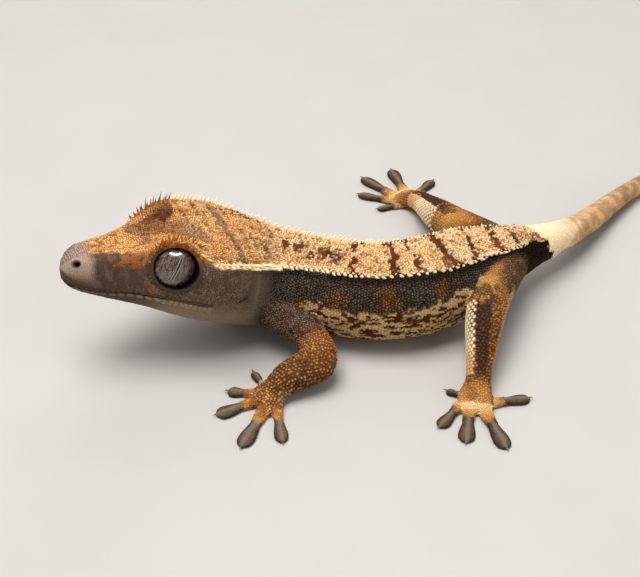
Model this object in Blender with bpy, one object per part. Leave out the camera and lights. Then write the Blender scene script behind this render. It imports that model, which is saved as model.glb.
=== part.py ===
"""Crested gecko, life size, standing on a floor with its head raised and turned a little to its left.

Sizes are in millimetres and are turned into metres when a mesh is made. The head points to -X, the
tail to +X, +Y is the animal's right side and +Z is up. The body is one tube that follows the spine.
Its sections are read from BODY_PROFILE, and small swellings and ridges are added on top. Each leg is
a set of tapered tubes, and each foot is a palm joined to five toes. Neighbours keep a gap of GAP.
"""

import math
import random

import bmesh
import bpy
import numpy as np
from mathutils import Matrix, Vector

MM = 0.001
GAP = 0.3

# Lengths along the spine, from the tip of the snout.
EYE_AT = 14.3
MOUTH_CORNER_AT = 19.5
HEAD_END = 26.0
NECK_END = 33.0
TRUNK_END = 74.0
TAIL_BASE_END = 93.0
TAIL_MIDDLE_END = 117.0

# The head is a straight wedge. Its axis runs along the line of the mouth.
SNOUT_TIP = (-36.0, -7.2, 15.9)
HEAD_YAW = 24.0
HEAD_PITCH = 15.5
HEAD_ROLL = 3.0
HEAD_LENGTH = 25.0

# The middle of the spine behind the head: neck, shoulders, back, hips, vent, then the tail.
SPINE = (
    (-7.5, 4.6, 7.6),
    (-1.0, 3.4, 7.3),
    (6.0, 1.9, 7.2),
    (12.5, 2.2, 7.2),
    (18.8, 4.8, 7.0),
    (24.6, 8.8, 6.8),
    (30.6, 13.2, 6.4),
    (36.0, 17.0, 5.6),
    (41.0, 21.8, 4.3),
    (46.0, 28.2, 2.9),
    (52.5, 36.2, 1.9),
    (61.0, 43.6, 1.4),
    (72.0, 47.4, 1.15),
    (83.0, 45.5, 0.85),
    (90.0, 40.0, 0.6),
)

# Each row: distance from the snout, half width, height of the widest line, top, bottom, and how square
# the upper and lower halves are (2 is an ellipse). Heights are measured from the axis.
BODY_PROFILE = (
    (0.0, 0.00, 1.9, 1.9, 1.9, 2.0, 2.0),
    (0.5, 1.40, 1.9, 3.2, 0.3, 2.1, 2.0),
    (1.5, 2.35, 1.8, 4.2, -0.7, 2.2, 2.1),
    (3.0, 3.05, 1.8, 4.9, -1.3, 2.3, 2.2),
    (5.5, 3.75, 1.9, 5.5, -1.9, 2.3, 2.3),
    (8.5, 4.60, 2.4, 6.2, -2.5, 2.4, 2.4),
    (11.5, 5.70, 3.2, 7.2, -3.0, 2.5, 2.5),
    (14.3, 6.75, 4.1, 8.2, -3.8, 2.6, 2.5),
    (17.0, 7.80, 4.8, 8.7, -4.5, 2.8, 2.5),
    (20.0, 8.60, 5.2, 9.0, -5.2, 3.0, 2.5),
    (23.0, 8.70, 5.0, 8.8, -5.9, 3.0, 2.5),
    (26.0, 8.20, 3.9, 8.2, -6.4, 2.8, 2.5),
    (29.5, 7.40, 2.2, 7.1, -6.7, 2.5, 2.5),
    (34.0, 6.80, 0.4, 6.0, -6.5, 2.3, 2.3),
    (41.0, 7.10, -0.2, 5.8, -6.5, 2.3, 2.1),
    (49.0, 7.50, -0.4, 5.8, -6.6, 2.4, 2.1),
    (56.0, 7.20, -0.3, 6.0, -6.4, 2.4, 2.1),
    (62.0, 6.30, -0.1, 5.9, -5.8, 2.4, 2.1),
    (68.0, 5.10, 0.0, 4.7, -4.9, 2.3, 2.0),
    (73.0, 4.00, 0.0, 3.7, -4.1, 2.2, 2.0),
    (78.0, 2.95, 0.0, 2.9, -3.1, 2.1, 2.0),
    (84.0, 2.40, 0.0, 2.4, -2.5, 2.0, 2.0),
    (95.0, 1.95, 0.0, 1.9, -2.0, 2.0, 2.0),
    (110.0, 1.45, 0.0, 1.45, -1.6, 2.0, 2.0),
    (125.0, 1.10, 0.0, 1.1, -1.3, 2.0, 2.0),
    (138.0, 0.85, 0.0, 0.8, -1.0, 2.0, 2.0),
    (144.0, 1.30, 0.0, 0.6, -0.9, 2.2, 2.0),
    (148.0, 1.25, 0.0, 0.5, -0.8, 2.2, 2.0),
    (150.0, 0.00, 0.0, 0.0, 0.0, 2.0, 2.0),
)

# The angle of the crest on the section, 90 being straight up: distance from the snout, degrees.
CREST_ANGLE = (
    (0, 52),
    (9, 54),
    (11.5, 60),
    (15.5, 60),
    (17.5, 42),
    (19.5, 27),
    (24, 28),
    (26, 33),
    (28, 39),
    (30, 45),
    (32, 50),
    (34, 54),
    (37, 59),
    (41, 61.5),
    (50, 61.5),
    (57, 57),
    (64, 53),
    (74, 46),
    (85, 30),
    (150, 30),
)
# The height of the mouth's line above the axis.
MOUTH_HEIGHT = (
    (0, 0.9),
    (1.5, 0.4),
    (5, 0.3),
    (10, 0.9),
    (15, 1.2),
    (19.5, 0.9),
    (24, 0.0),
    (34, -1.8),
    (150, -0.5),
)

# Swellings and hollows: distance from the snout, section angle, height, spread along, spread round.
DOME = (13.9, 60.0, 1.6, 2.6, 14.0)
CROWN_VALLEY = (14.5, 90.0, -0.9, 5.0, 13.0)
SNOUT_RIDGE = (7.5, 52.0, 0.45, 3.4, 13.0)
CHEEK_HOLLOW = (8.5, 14.0, -0.35, 2.4, 16.0)
NOSTRIL_SWELLING = (2.2, 25.0, 0.30, 1.4, 22.0)
EYE_SWELLING = (14.3, 18.0, 1.0, 2.8, 24.0)
JAW_MUSCLE = (21.5, -12.0, 0.45, 2.6, 18.0)
HEAD_STATIONS = (
    0.25, 0.6, 1.1, 1.7, 2.4, 3.2, 4.2, 5.4, 6.7, 8.0, 9.2, 10.3, 11.3, 12.3, 13.3, 14.3, 15.3, 16.3, 17.3,
    18.4, 19.5, 20.6, 21.8, 23.0, 24.2, HEAD_END - GAP / 2,
)
SWELLINGS = (DOME, CROWN_VALLEY, SNOUT_RIDGE, CHEEK_HOLLOW, NOSTRIL_SWELLING, EYE_SWELLING, JAW_MUSCLE)

CREST_HEIGHT = 0.45
CREST_SPREAD = 5.0
LIP_GROOVE_DEPTH = 0.45
LIP_GROOVE_HALF = 0.28

EYE_RADIUS = 3.0
EYE_DEPTH = 2.2
EYE_OUT = 5.0
EYE_UP = 5.6
EYE_FORWARD = 0.22
EYE_RAISED = 0.30
LID_THICKNESS = 0.42
LID_REACH = 0.32
LID_OUT = 0.45

# The pit of the nostril and of the ear: distance from the snout, section angle, half sizes, depth.
NOSTRIL = (1.6, 46.0, 0.42, 0.42, 0.7)
EAR = (24.2, -8.0, 0.55, 1.35, 0.9)

# Spines: distance between them, base radius and length.
HEAD_SPINE = (1.15, 0.36, 1.05)
BACK_SPINE = (1.25, 0.38, 0.95)
BROW_SPINE = (9, 0.34, 1.6)
CREST_START = 18.0
CREST_STOP = 72.0
SPINE_SUNK = 0.55
SPINE_LEAN = 0.35
SPINE_VARIES = (0.8, 1.15)
# The spines are longest at the back of the head: distance from the snout, spread, share added.
CREST_LONGEST = (25.2, 2.2, 0.55)
# The lashes over the eye run through these angles, 0 being forwards and 90 up.
BROW_FIRST = 35
BROW_LAST = 145

# Each leg's line runs from inside the body past the elbow or knee and the wrist or ankle to the end of
# the palm. toes holds the tips of the five toes, the inner one first.
LEGS = {
    "front_left": {
        "line": (
            (-7.6, -1.6, 5.9),
            (1.8, -9.2, 4.3),
            (-5.3, -13.1, 2.4),
            (-7.3, -14.8, 0.85),
            (-8.8, -15.9, 0.6),
        ),
        "toes": ((-9.7, -8.5), (-13.1, -12.7), (-14.4, -17.7), (-10.6, -24.0), (-5.0, -23.1)),
    },
    "front_right": {
        "line": (
            (-5.6, 7.6, 6.0),
            (-0.6, 16.2, 4.4),
            (-8.2, 19.6, 2.3),
            (-10.7, 20.7, 0.85),
            (-12.2, 21.4, 0.6),
        ),
        "toes": ((-11.4, 14.6), (-16.6, 16.6), (-19.2, 21.4), (-17.0, 27.0), (-9.8, 27.6)),
    },
    "back_left": {
        "line": (
            (28.4, 9.8, 6.4),
            (24.0, -2.2, 8.0),
            (22.2, -12.6, 2.4),
            (21.5, -15.7, 0.85),
            (21.4, -17.4, 0.6),
        ),
        "toes": ((17.8, -12.6), (16.2, -20.1), (19.6, -23.1), (25.0, -24.3), (29.5, -14.2)),
    },
    "back_right": {
        "line": (
            (29.5, 13.0, 5.8),
            (21.6, 20.8, 5.7),
            (16.9, 33.6, 2.4),
            (14.7, 37.0, 0.85),
            (13.6, 38.4, 0.6),
        ),
        "toes": ((9.8, 34.0), (6.6, 38.8), (7.4, 44.4), (12.8, 47.2), (20.2, 43.4)),
    },
}
# Share of the leg's length, half width, half depth.
FRONT_LEG_SIZES = (
    (0.0, 2.5, 2.5),
    (0.2, 2.45, 2.45),
    (0.42, 2.4, 2.4),
    (0.58, 2.6, 2.5),
    (0.72, 2.4, 2.1),
    (0.84, 2.0, 1.45),
    (0.93, 2.6, 1.1),
    (1.0, 2.3, 0.7),
)
BACK_LEG_SIZES = (
    (0.0, 3.4, 3.4),
    (0.2, 3.3, 3.2),
    (0.42, 2.8, 2.8),
    (0.52, 2.6, 2.6),
    (0.66, 2.05, 2.05),
    (0.82, 1.6, 1.5),
    (0.92, 2.4, 1.1),
    (1.0, 2.5, 0.7),
)
# Where a leg is parted: at the elbow or knee, and at the wrist or ankle, as shares of its length.
FRONT_LEG_PARTS = (0.44, 0.83)
BACK_LEG_PARTS = (0.50, 0.82)
BEND_ROUNDING = 0.3

# A toe: share of its length, half width, half depth. It is slim, then widens to a flat pad.
TOE_SIZES = (
    (0.0, 1.0, 0.62),
    (0.2, 0.82, 0.56),
    (0.4, 0.66, 0.5),
    (0.56, 0.86, 0.45),
    (0.76, 1.08, 0.42),
    (0.92, 0.95, 0.38),
    (1.0, 0.5, 0.3),
)
TOE_ROOT_LIFT = 0.6
TOE_MIDDLE_LIFT = 0.38
TOE_TIP_LIFT = 0.24
# Each toe's root on the palm: sideways from its middle, back from its front edge, and the toe's width
# as a share of the full one. The inner toe comes first.
TOE_ROOTS = ((-1.5, 2.2, 0.62), (-1.9, 0.6, 0.95), (-0.7, 0.1, 1.15), (1.1, 0.1, 1.15), (1.8, 1.3, 0.95))
CLAW = (0.2, 0.6)

SKIN = {
    "head": (0.50, 0.30, 0.19),
    "neck": (0.45, 0.33, 0.25),
    "torso": (0.50, 0.38, 0.27),
    "tail": (0.46, 0.33, 0.23),
    "leg": (0.47, 0.27, 0.15),
    "foot": (0.40, 0.30, 0.25),
    "eye": (0.10, 0.08, 0.06),
}


def curve_through(points):
    """A smooth function through rows of (distance, value, value, ...), with no overshoot between rows."""
    table = np.array(points, float)
    x, y = table[:, 0], table[:, 1:]
    step = np.diff(x)
    slope = np.diff(y, axis=0) / step[:, None]
    tangent = np.zeros_like(y)
    tangent[0], tangent[-1] = slope[0], slope[-1]
    before, after = slope[:-1], slope[1:]
    same_way = before * after > 0
    heavy, light = (2 * step[1:] + step[:-1])[:, None], (step[1:] + 2 * step[:-1])[:, None]
    with np.errstate(divide="ignore", invalid="ignore"):
        mean = (heavy + light) / (heavy / before + light / after)
    tangent[1:-1] = np.where(same_way, mean, 0.0)

    def value(at):
        at = np.clip(at, x[0], x[-1])
        i = np.clip(np.searchsorted(x, at) - 1, 0, len(step) - 1)
        t = (at - x[i]) / step[i]
        a = 2 * t**3 - 3 * t**2 + 1
        leaving = (t**3 - 2 * t**2 + t) * step[i] * tangent[i]
        reaching = (t**3 - t**2) * step[i] * tangent[i + 1]
        return a * y[i] + leaving + (1 - a) * y[i + 1] + reaching

    return value


def unit(v):
    return v / np.linalg.norm(v)


def rotation(axis, degrees):
    """The matrix that turns about an axis, right-handed."""
    x, y, z = unit(np.array(axis, float))
    cross = np.array(((0, -z, y), (z, 0, -x), (-y, x, 0)))
    angle = math.radians(degrees)
    return np.eye(3) + math.sin(angle) * cross + (1 - math.cos(angle)) * cross @ cross


def natural_spline(knots, points):
    """The curve with even curvature through the points, as a function of the distance in knots."""
    knots, points = np.array(knots, float), np.array(points, float)
    step = np.diff(knots)
    n = len(knots)
    system = np.eye(n)
    right = np.zeros_like(points)
    for i in range(1, n - 1):
        system[i, i - 1 : i + 2] = step[i - 1], 2 * (step[i - 1] + step[i]), step[i]
        slope_after = (points[i + 1] - points[i]) / step[i]
        slope_before = (points[i] - points[i - 1]) / step[i - 1]
        right[i] = 6 * (slope_after - slope_before)
    bend = np.linalg.solve(system, right)

    def value(at):
        i = int(np.clip(np.searchsorted(knots, at) - 1, 0, n - 2))
        a, b, h = knots[i + 1] - at, at - knots[i], step[i]
        return (
            (bend[i] * a**3 + bend[i + 1] * b**3) / (6 * h)
            + (points[i] / h - bend[i] * h / 6) * a
            + (points[i + 1] / h - bend[i + 1] * h / 6) * b
        )

    return value


def head_axes():
    """The head's directions: towards the tail, towards its left, and up."""
    turn = rotation((0, 0, 1), HEAD_YAW) @ rotation((0, 1, 0), HEAD_PITCH) @ rotation((1, 0, 0), HEAD_ROLL)
    return turn @ np.array((1.0, 0, 0)), turn @ np.array((0, -1.0, 0)), turn @ np.array((0, 0, 1.0))


HEAD_BACK, HEAD_LEFT, HEAD_UP = head_axes()


def head_point(back, left, up):
    """A point of the head from its distances behind the snout, to the left and up."""
    return np.array(SNOUT_TIP) + back * HEAD_BACK + left * HEAD_LEFT + up * HEAD_UP


def spine_curve():
    """The spine as a function of the distance from the snout."""
    points = [head_point(s, 0, 0) for s in (0.0, 8.0, 16.0, HEAD_LENGTH - 3.0)] + [np.array(p) for p in SPINE]
    lengths = [0.0]
    for a, b in zip(points, points[1:]):
        lengths.append(lengths[-1] + float(np.linalg.norm(b - a)))
    return natural_spline(lengths, points), lengths[-1]


spine_at, SPINE_LENGTH = spine_curve()
profile_at = curve_through(BODY_PROFILE)
crest_angle_at = curve_through(CREST_ANGLE)
mouth_height_at = curve_through(MOUTH_HEIGHT)
# The head's roll fades out along the neck.
roll_at = curve_through(((0, HEAD_ROLL), (HEAD_LENGTH, HEAD_ROLL), (38, 0), (150, 0)))


def body_frame(s):
    """Origin, tailward direction, left and up at a distance along the spine."""
    ahead, behind = spine_at(min(s + 0.3, SPINE_LENGTH)), spine_at(max(s - 0.3, 0.0))
    along = unit(ahead - behind)
    left = unit(np.cross(along, (0, 0, 1.0)))
    up = np.cross(left, along)
    turn = rotation(along, float(roll_at(s)[0]))
    return spine_at(s), along, turn @ left, turn @ up


def power(value, exponent):
    return math.copysign(abs(value) ** exponent, value)


def mouth_angle(s):
    """The section angle at which the mouth's line runs."""
    _, middle, _, bottom, _, square = profile_at(s)
    depth = middle - float(mouth_height_at(s)[0])
    share = min(max(depth / max(middle - bottom, 1e-6), 0.02), 0.95)
    return -math.degrees(math.asin(share ** (square / 2)))


def swelling(s, angle):
    """How far the surface stands out at this place."""
    total = 0.0
    for place, turn, height, along, around in SWELLINGS:
        away = ((s - place) / along) ** 2 + ((angle - turn) / around) ** 2
        total += height * math.exp(-away / 2)
    crest = smooth_step(9.0, 15.0, s) * (1 - smooth_step(68.0, 78.0, s))
    off = (angle - float(crest_angle_at(s)[0])) / CREST_SPREAD
    return total + crest * CREST_HEIGHT * math.exp(-(off**2) / 2)


def smooth_step(low, high, value):
    t = min(max((value - low) / (high - low), 0.0), 1.0)
    return t * t * (3 - 2 * t)


def body_point(s, angle, side, out=0.0):
    """A point of the body's surface. side is 1 on the animal's left and -1 on its right."""
    width, middle, top, bottom, upper, lower = profile_at(s)
    origin, _, left, up = body_frame(s)
    c, n = math.cos(math.radians(angle)), math.sin(math.radians(angle))
    if angle >= 0:
        across, height = width * power(c, 2 / upper), middle + (top - middle) * power(n, 2 / upper)
    else:
        across, height = width * power(c, 2 / lower), middle + (middle - bottom) * power(n, 2 / lower)
    bump = (swelling(s, angle) * min(1.0, s / 1.5) if s < 80 else 0.0) + out
    across, height = across + bump * c, height + bump * n
    return origin + side * across * left + height * up


def side_angles(s, lips):
    """One side's columns as angles, from the back's middle past the crest and the mouth to the belly's."""
    crest, mouth = float(crest_angle_at(s)[0]), mouth_angle(s)
    half = math.degrees(lips / max(float(profile_at(s)[0]), 1.5))
    upper = np.linspace(90, crest, 5)
    cheek = np.linspace(crest, mouth + half, 8)
    jaw = np.linspace(mouth - half, -90, 6)
    return [*upper, *cheek[1:], mouth, *jaw]


def body_ring(s):
    """One closed ring of the body's skin. The mouth's groove is pressed in along the head."""
    angles = side_angles(s, LIP_GROOVE_HALF)
    groove_column = angles.index(mouth_angle(s))
    mouth_ends = 1 - smooth_step(MOUTH_CORNER_AT - 1, MOUTH_CORNER_AT + 0.6, s)
    groove = LIP_GROOVE_DEPTH * smooth_step(0.2, 1.0, s) * mouth_ends
    ring = []
    for side, columns in ((1, range(len(angles))), (-1, range(len(angles) - 2, 0, -1))):
        for column in columns:
            out = -groove if column == groove_column else 0.0
            ring.append(body_point(s, angles[column], side, out))
    return ring


def mesh_object(name, points, faces, collection):
    """A closed mesh in metres."""
    mesh = bpy.data.meshes.new(name)
    mesh.from_pydata([tuple(float(c) * MM for c in p) for p in points], [], faces)
    mesh.validate()
    obj = bpy.data.objects.new(name, mesh)
    collection.objects.link(obj)
    return obj


def loft(name, rings, collection, start=None, stop=None):
    """Joins rings of points into a closed skin. Its ends are flat, or drawn to the points start and stop."""
    points = [p for ring in rings for p in ring]
    n, faces = len(rings[0]), []
    for r in range(len(rings) - 1):
        for k in range(n):
            a, b = r * n + k, r * n + (k + 1) % n
            faces.append((a, b, b + n, a + n))
    for end, ring_start, flip in ((start, 0, False), (stop, (len(rings) - 1) * n, True)):
        centre = len(points)
        points.append(np.mean(points[ring_start : ring_start + n], axis=0) if end is None else np.array(end))
        for k in range(n):
            a, b = ring_start + k, ring_start + (k + 1) % n
            faces.append((a, b, centre) if flip else (b, a, centre))
    obj = mesh_object(name, points, faces, collection)
    tidy(obj)
    return obj


def tidy(obj):
    """Merges points that coincide and turns all the faces outwards."""
    work = bmesh.new()
    work.from_mesh(obj.data)
    bmesh.ops.remove_doubles(work, verts=work.verts, dist=2e-6)
    bmesh.ops.dissolve_degenerate(work, edges=work.edges, dist=1e-6)
    bmesh.ops.triangulate(work, faces=work.faces)
    bmesh.ops.recalc_face_normals(work, faces=work.faces)
    work.to_mesh(obj.data)
    work.free()


def grown(obj, by, name, collection):
    """A copy of the object with its surface moved out by a distance, for cutting a neighbour."""
    copy = bpy.data.objects.new(name, obj.data.copy())
    collection.objects.link(copy)
    work = bmesh.new()
    work.from_mesh(copy.data)
    work.normal_update()
    moves = [(v, v.normal.copy()) for v in work.verts]
    for v, normal in moves:
        v.co += normal * by * MM
    work.to_mesh(copy.data)
    work.free()
    return copy


def apply_boolean(obj, operation, others=None, cutter=None):
    """Applies one Boolean, by a collection of objects or by one object, and keeps the largest closed body."""
    modifier = obj.modifiers.new("join", "BOOLEAN")
    modifier.operation = operation
    modifier.solver = "EXACT"
    if others is not None:
        modifier.operand_type = "COLLECTION"
        modifier.collection = others
    else:
        modifier.object = cutter
    bpy.context.view_layer.update()
    graph = bpy.context.evaluated_depsgraph_get()
    mesh = bpy.data.meshes.new_from_object(obj.evaluated_get(graph))
    obj.modifiers.clear()
    old = obj.data
    obj.data = mesh
    bpy.data.meshes.remove(old)
    keep_largest(obj)


def keep_largest(obj):
    """Drops every loose piece but the one with the most volume."""
    work = bmesh.new()
    work.from_mesh(obj.data)
    unseen, pieces = set(work.faces), []
    while unseen:
        piece, edge = set(), [unseen.pop()]
        while edge:
            face = edge.pop()
            piece.add(face)
            for loop in face.loops:
                for other in loop.edge.link_faces:
                    if other in unseen:
                        unseen.discard(other)
                        edge.append(other)
        pieces.append(piece)
    if len(pieces) > 1:
        best = max(pieces, key=lambda piece: abs(signed_volume(piece)))
        bmesh.ops.delete(work, geom=[f for p in pieces if p is not best for f in p], context="FACES")
        bmesh.ops.delete(work, geom=[v for v in work.verts if not v.link_faces], context="VERTS")
    bmesh.ops.triangulate(work, faces=work.faces)
    work.to_mesh(obj.data)
    work.free()


def signed_volume(faces):
    total = 0.0
    for face in faces:
        first = face.verts[0].co
        for a, b in zip(face.verts[1:], face.verts[2:]):
            total += first.dot(a.co.cross(b.co)) / 6
    return total


def join_all(obj, pieces):
    """Fuses pieces into one node with a single union, then removes them."""
    helper = bpy.data.collections.new(obj.name + "_pieces")
    bpy.context.scene.collection.children.link(helper)
    for piece in pieces:
        for owner in list(piece.users_collection):
            owner.objects.unlink(piece)
        helper.objects.link(piece)
    apply_boolean(obj, "UNION", others=helper)
    for piece in pieces:
        bpy.data.objects.remove(piece)
    bpy.data.collections.remove(helper)


def cut(obj, cutters):
    for cutter in cutters:
        apply_boolean(obj, "DIFFERENCE", cutter=cutter)


def placed(mesh_maker, name, collection, centre, along, scale=(1, 1, 1), guide=(0.1, 0.2, 1.0)):
    """A bmesh primitive whose own Z is turned to a direction and whose middle is put at a point."""
    along = unit(np.array(along, float))
    across = unit(np.cross(guide, along))
    third = np.cross(along, across)
    work = bmesh.new()
    mesh_maker(work)
    for v in work.verts:
        x, y, z = (v.co[i] * scale[i] for i in range(3))
        v.co = tuple((np.array(centre) + x * across + y * third + z * along) * MM)
    bmesh.ops.triangulate(work, faces=work.faces)
    bmesh.ops.recalc_face_normals(work, faces=work.faces)
    mesh = bpy.data.meshes.new(name)
    work.to_mesh(mesh)
    work.free()
    obj = bpy.data.objects.new(name, mesh)
    collection.objects.link(obj)
    return obj


def cone(name, root, tip, radius, collection, sides=4):
    """A spine or claw from root to tip."""
    root, tip = np.array(root, float), np.array(tip, float)
    length = float(np.linalg.norm(tip - root))

    def make(work):
        bmesh.ops.create_cone(work, cap_ends=True, segments=sides, radius1=radius, radius2=0.0, depth=length)

    return placed(make, name, collection, (root + tip) / 2, tip - root)


def ball(name, centre, along, across_radius, along_radius, collection, segments=18, rings=10):
    """A ball, flattened or drawn out along one direction."""

    def make(work):
        bmesh.ops.create_uvsphere(work, u_segments=segments, v_segments=rings, radius=1.0)

    return placed(make, name, collection, centre, along, (across_radius, across_radius, along_radius))


def eye_place(side):
    """The eye's centre and the direction in which it looks. side is 1 on the left."""
    centre = head_point(EYE_AT, side * EYE_OUT, EYE_UP)
    look = unit(side * HEAD_LEFT - EYE_FORWARD * HEAD_BACK + EYE_RAISED * HEAD_UP)
    return centre, look


def eye_ball(name, side, by, collection):
    centre, look = eye_place(side)
    return ball(name, centre, look, EYE_RADIUS + by, EYE_DEPTH + by, collection)


def lid_ring(name, side, collection):
    """The raised edge of scales round an eye."""
    centre, look = eye_place(side)
    bpy.ops.mesh.primitive_torus_add(
        major_segments=20,
        minor_segments=6,
        major_radius=(EYE_RADIUS + LID_REACH) * MM,
        minor_radius=LID_THICKNESS * MM,
    )
    ring = bpy.context.active_object
    ring.name = name
    middle = Vector((centre + LID_OUT * look) * MM)
    ring.data.transform(Matrix.LocRotScale(middle, Vector(look).to_track_quat("Z", "Y"), None))
    for owner in list(ring.users_collection):
        owner.objects.unlink(ring)
    collection.objects.link(ring)
    return ring


def surface_spine(name, s, angle, side, radius, length, lean, collection):
    """A spine that stands on the body's skin, its root sunk in and its tip leaning to the tail."""
    foot = body_point(s, angle, side)
    _, along, left, up = body_frame(s)
    c, n = math.cos(math.radians(angle)), math.sin(math.radians(angle))
    outward = unit(side * c * left + n * up + lean * along)
    return cone(name, foot - SPINE_SUNK * outward, foot + length * outward, radius, collection)


def body_length(name, first, last, count, collection, start=None, stop=None):
    """One node of the body, between two places along the spine."""
    return loft(name, [body_ring(s) for s in np.linspace(first, last, count)], collection, start, stop)


def tail_length(name, first, last, count, collection, stop=None, sides=16):
    """One node of the tail, which lies on the floor and has a plain section."""
    rings = []
    for s in np.linspace(first, last, count):
        ring = []
        for k in range(sides):
            turn = 360 * (k + 0.5) / sides
            side = 1 if turn <= 180 else -1
            point = body_point(s, 90 - (turn if side == 1 else 360 - turn), side)
            point[2] = max(point[2], 0.0)
            ring.append(point)
        rings.append(ring)
    return loft(name, rings, collection, stop=stop)


def crest_spines(first, last, sizes, collection):
    """The row of spines along each crest, with lengths that vary a little."""
    spacing, radius, length = sizes
    longest_at, spread, added = CREST_LONGEST
    draw = random.Random(int(first * 10))
    spines = []
    s = first
    while s < last:
        angle = float(crest_angle_at(s)[0])
        for side in (1, -1):
            size = length * draw.uniform(*SPINE_VARIES)
            size *= 1 + added * math.exp(-(((s - longest_at) / spread) ** 2))
            name = f"crest_spine_{side}_{s:.1f}"
            spines.append(surface_spine(name, s, angle, side, radius, size, SPINE_LEAN, collection))
        s += spacing
    return spines


def brow_spines(side, collection):
    """The fringe of pointed scales over an eye, like lashes."""
    count, radius, length = BROW_SPINE
    centre, look = eye_place(side)
    up = unit(HEAD_UP - (HEAD_UP @ look) * look)
    ahead = unit(-HEAD_BACK + (HEAD_BACK @ look) * look)
    draw = random.Random(5)
    spines = []
    for k in range(count):
        turn = math.radians(BROW_FIRST + (BROW_LAST - BROW_FIRST) * k / (count - 1))
        out = math.cos(turn) * ahead + math.sin(turn) * up
        root = centre + (LID_OUT + 0.15) * look + (EYE_RADIUS + 0.9 * LID_THICKNESS) * out
        way = unit(0.85 * out + 0.45 * look)
        size = length * draw.uniform(*SPINE_VARIES)
        name = f"brow_spine_{side}_{k}"
        spines.append(cone(name, root - SPINE_SUNK * way, root + size * way, radius, collection))
    return spines


def surface_opening(name, place, side, collection):
    """A shallow pit in the skin, for a nostril or an ear."""
    s, angle, half_along, half_round, depth = place
    at = body_point(s, angle, side)
    _, along, _, _ = body_frame(s)
    outward = unit(body_point(s, angle, side, 1.0) - at)

    def make(work):
        bmesh.ops.create_uvsphere(work, u_segments=10, v_segments=6, radius=1.0)

    return placed(make, name, collection, at, outward, (half_round, half_along, depth), guide=along)


def rounded_line(points, share):
    """The points of a bent line, each inner corner replaced by two points beside it."""
    points = [np.array(p, float) for p in points]
    line = [points[0]]
    for before, corner, after in zip(points, points[1:], points[2:]):
        line += [corner + share * (before - corner), corner + share * (after - corner)]
    return [*line, points[-1]]


def make_line(points):
    """A smooth curve through points, as a function of the share of its length, and its length."""
    knots = [0.0]
    for a, b in zip(points, points[1:]):
        knots.append(knots[-1] + float(np.linalg.norm(b - a)))
    curve = natural_spline(knots, points)
    return (lambda share: curve(share * knots[-1])), knots[-1]


def limb_ring(line, size_at, share, sides):
    """An oval ring round a limb, no lower than the floor."""
    along = unit(line(min(share + 0.01, 1.0)) - line(max(share - 0.01, 0.0)))
    across = unit(np.cross(along, (0, 0, 1.0)))
    depth = np.cross(across, along)
    half_width, half_depth = size_at(share)
    ring = []
    for k in range(sides):
        turn = 2 * math.pi * (k + 0.5) / sides
        p = line(share) + half_width * math.cos(turn) * across + half_depth * math.sin(turn) * depth
        p[2] = max(p[2], 0.0)
        ring.append(p)
    return ring


def limb_length(name, line, sizes, first, last, count, collection, sides=12, tip=False):
    """One node of a leg, between two cuts, or out to its tip."""
    size_at = curve_through(sizes)
    shares = list(np.linspace(first, last, count))
    if tip:
        shares[-1] -= 0.25 * (shares[-1] - shares[-2])
    rings = [limb_ring(line, size_at, share, sides) for share in shares]
    stop = None
    if tip:
        stop = line(last)
        stop[2] = max(stop[2], 0.15)
    return loft(name, rings, collection, stop=stop)


def make_foot(name, line, sizes, first, toes, collection, pieces):
    """The palm, five toes with wide pads, and their claws, fused into one body."""
    palm = limb_length(name, line, sizes, first, 1.0, 7, collection, sides=12, tip=True)
    ahead = unit((line(1.0) - line(0.86)) * (1, 1, 0))
    aside = np.array((-ahead[1], ahead[0], 0.0))
    span = np.array((toes[4][0] - toes[0][0], toes[4][1] - toes[0][1], 0.0))
    aside *= math.copysign(1.0, span @ aside)
    parts = []
    for k, ((x, y), (sideways, back, width)) in enumerate(zip(toes, TOE_ROOTS)):
        tip = np.array((x, y, TOE_TIP_LIFT))
        root = line(0.97) + sideways * aside - back * ahead
        root[2] = TOE_ROOT_LIFT
        middle = 0.5 * (root + tip)
        middle[2] = TOE_MIDDLE_LIFT
        toe_line, _ = make_line([root, middle, tip])
        toe_sizes = [(share, width * half, depth) for share, half, depth in TOE_SIZES]
        toe = limb_length(f"{name}_toe_{k}", toe_line, toe_sizes, 0.0, 1.0, 9, pieces, sides=8, tip=True)
        way = unit((tip - middle) * (1, 1, 0))
        claw_root = tip - 0.55 * way + (0, 0, 0.12)
        claw_tip = tip + CLAW[1] * way + (0, 0, 0.1)
        parts += [toe, cone(f"{name}_claw_{k}", claw_root, claw_tip, CLAW[0], pieces)]
    join_all(palm, parts)
    return palm


def make_leg(name, leg, names, sizes, parts, trunk_cutter, collection, pieces):
    """A leg's three nodes, with flat cuts at the elbow or knee and at the wrist or ankle."""
    line, length = make_line(rounded_line(leg["line"], BEND_ROUNDING))
    half_gap = 0.5 * GAP / length
    bend, wrist = parts
    upper = limb_length(f"{names[0]}_{name}", line, sizes, 0.0, bend - half_gap, 8, collection)
    cut(upper, [trunk_cutter])
    limb_length(f"{names[1]}_{name}", line, sizes, bend + half_gap, wrist - half_gap, 8, collection)
    make_foot(f"{names[2]}_{name}", line, sizes, wrist + half_gap, leg["toes"], collection, pieces)


def paint(obj, name, colour, rough):
    """Each node has its own Principled material."""
    material = bpy.data.materials.new(name + "_skin")
    material.use_nodes = True
    shader = material.node_tree.nodes["Principled BSDF"]
    shader.inputs["Base Color"].default_value = (*colour, 1.0)
    shader.inputs["Roughness"].default_value = rough
    shader.inputs["Metallic"].default_value = 0.0
    obj.data.materials.clear()
    obj.data.materials.append(material)


def new_collection(name):
    collection = bpy.data.collections.new(name)
    bpy.context.scene.collection.children.link(collection)
    return collection


def drop_collection(collection):
    for obj in list(collection.objects):
        bpy.data.objects.remove(obj)
    bpy.data.collections.remove(collection)


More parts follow.
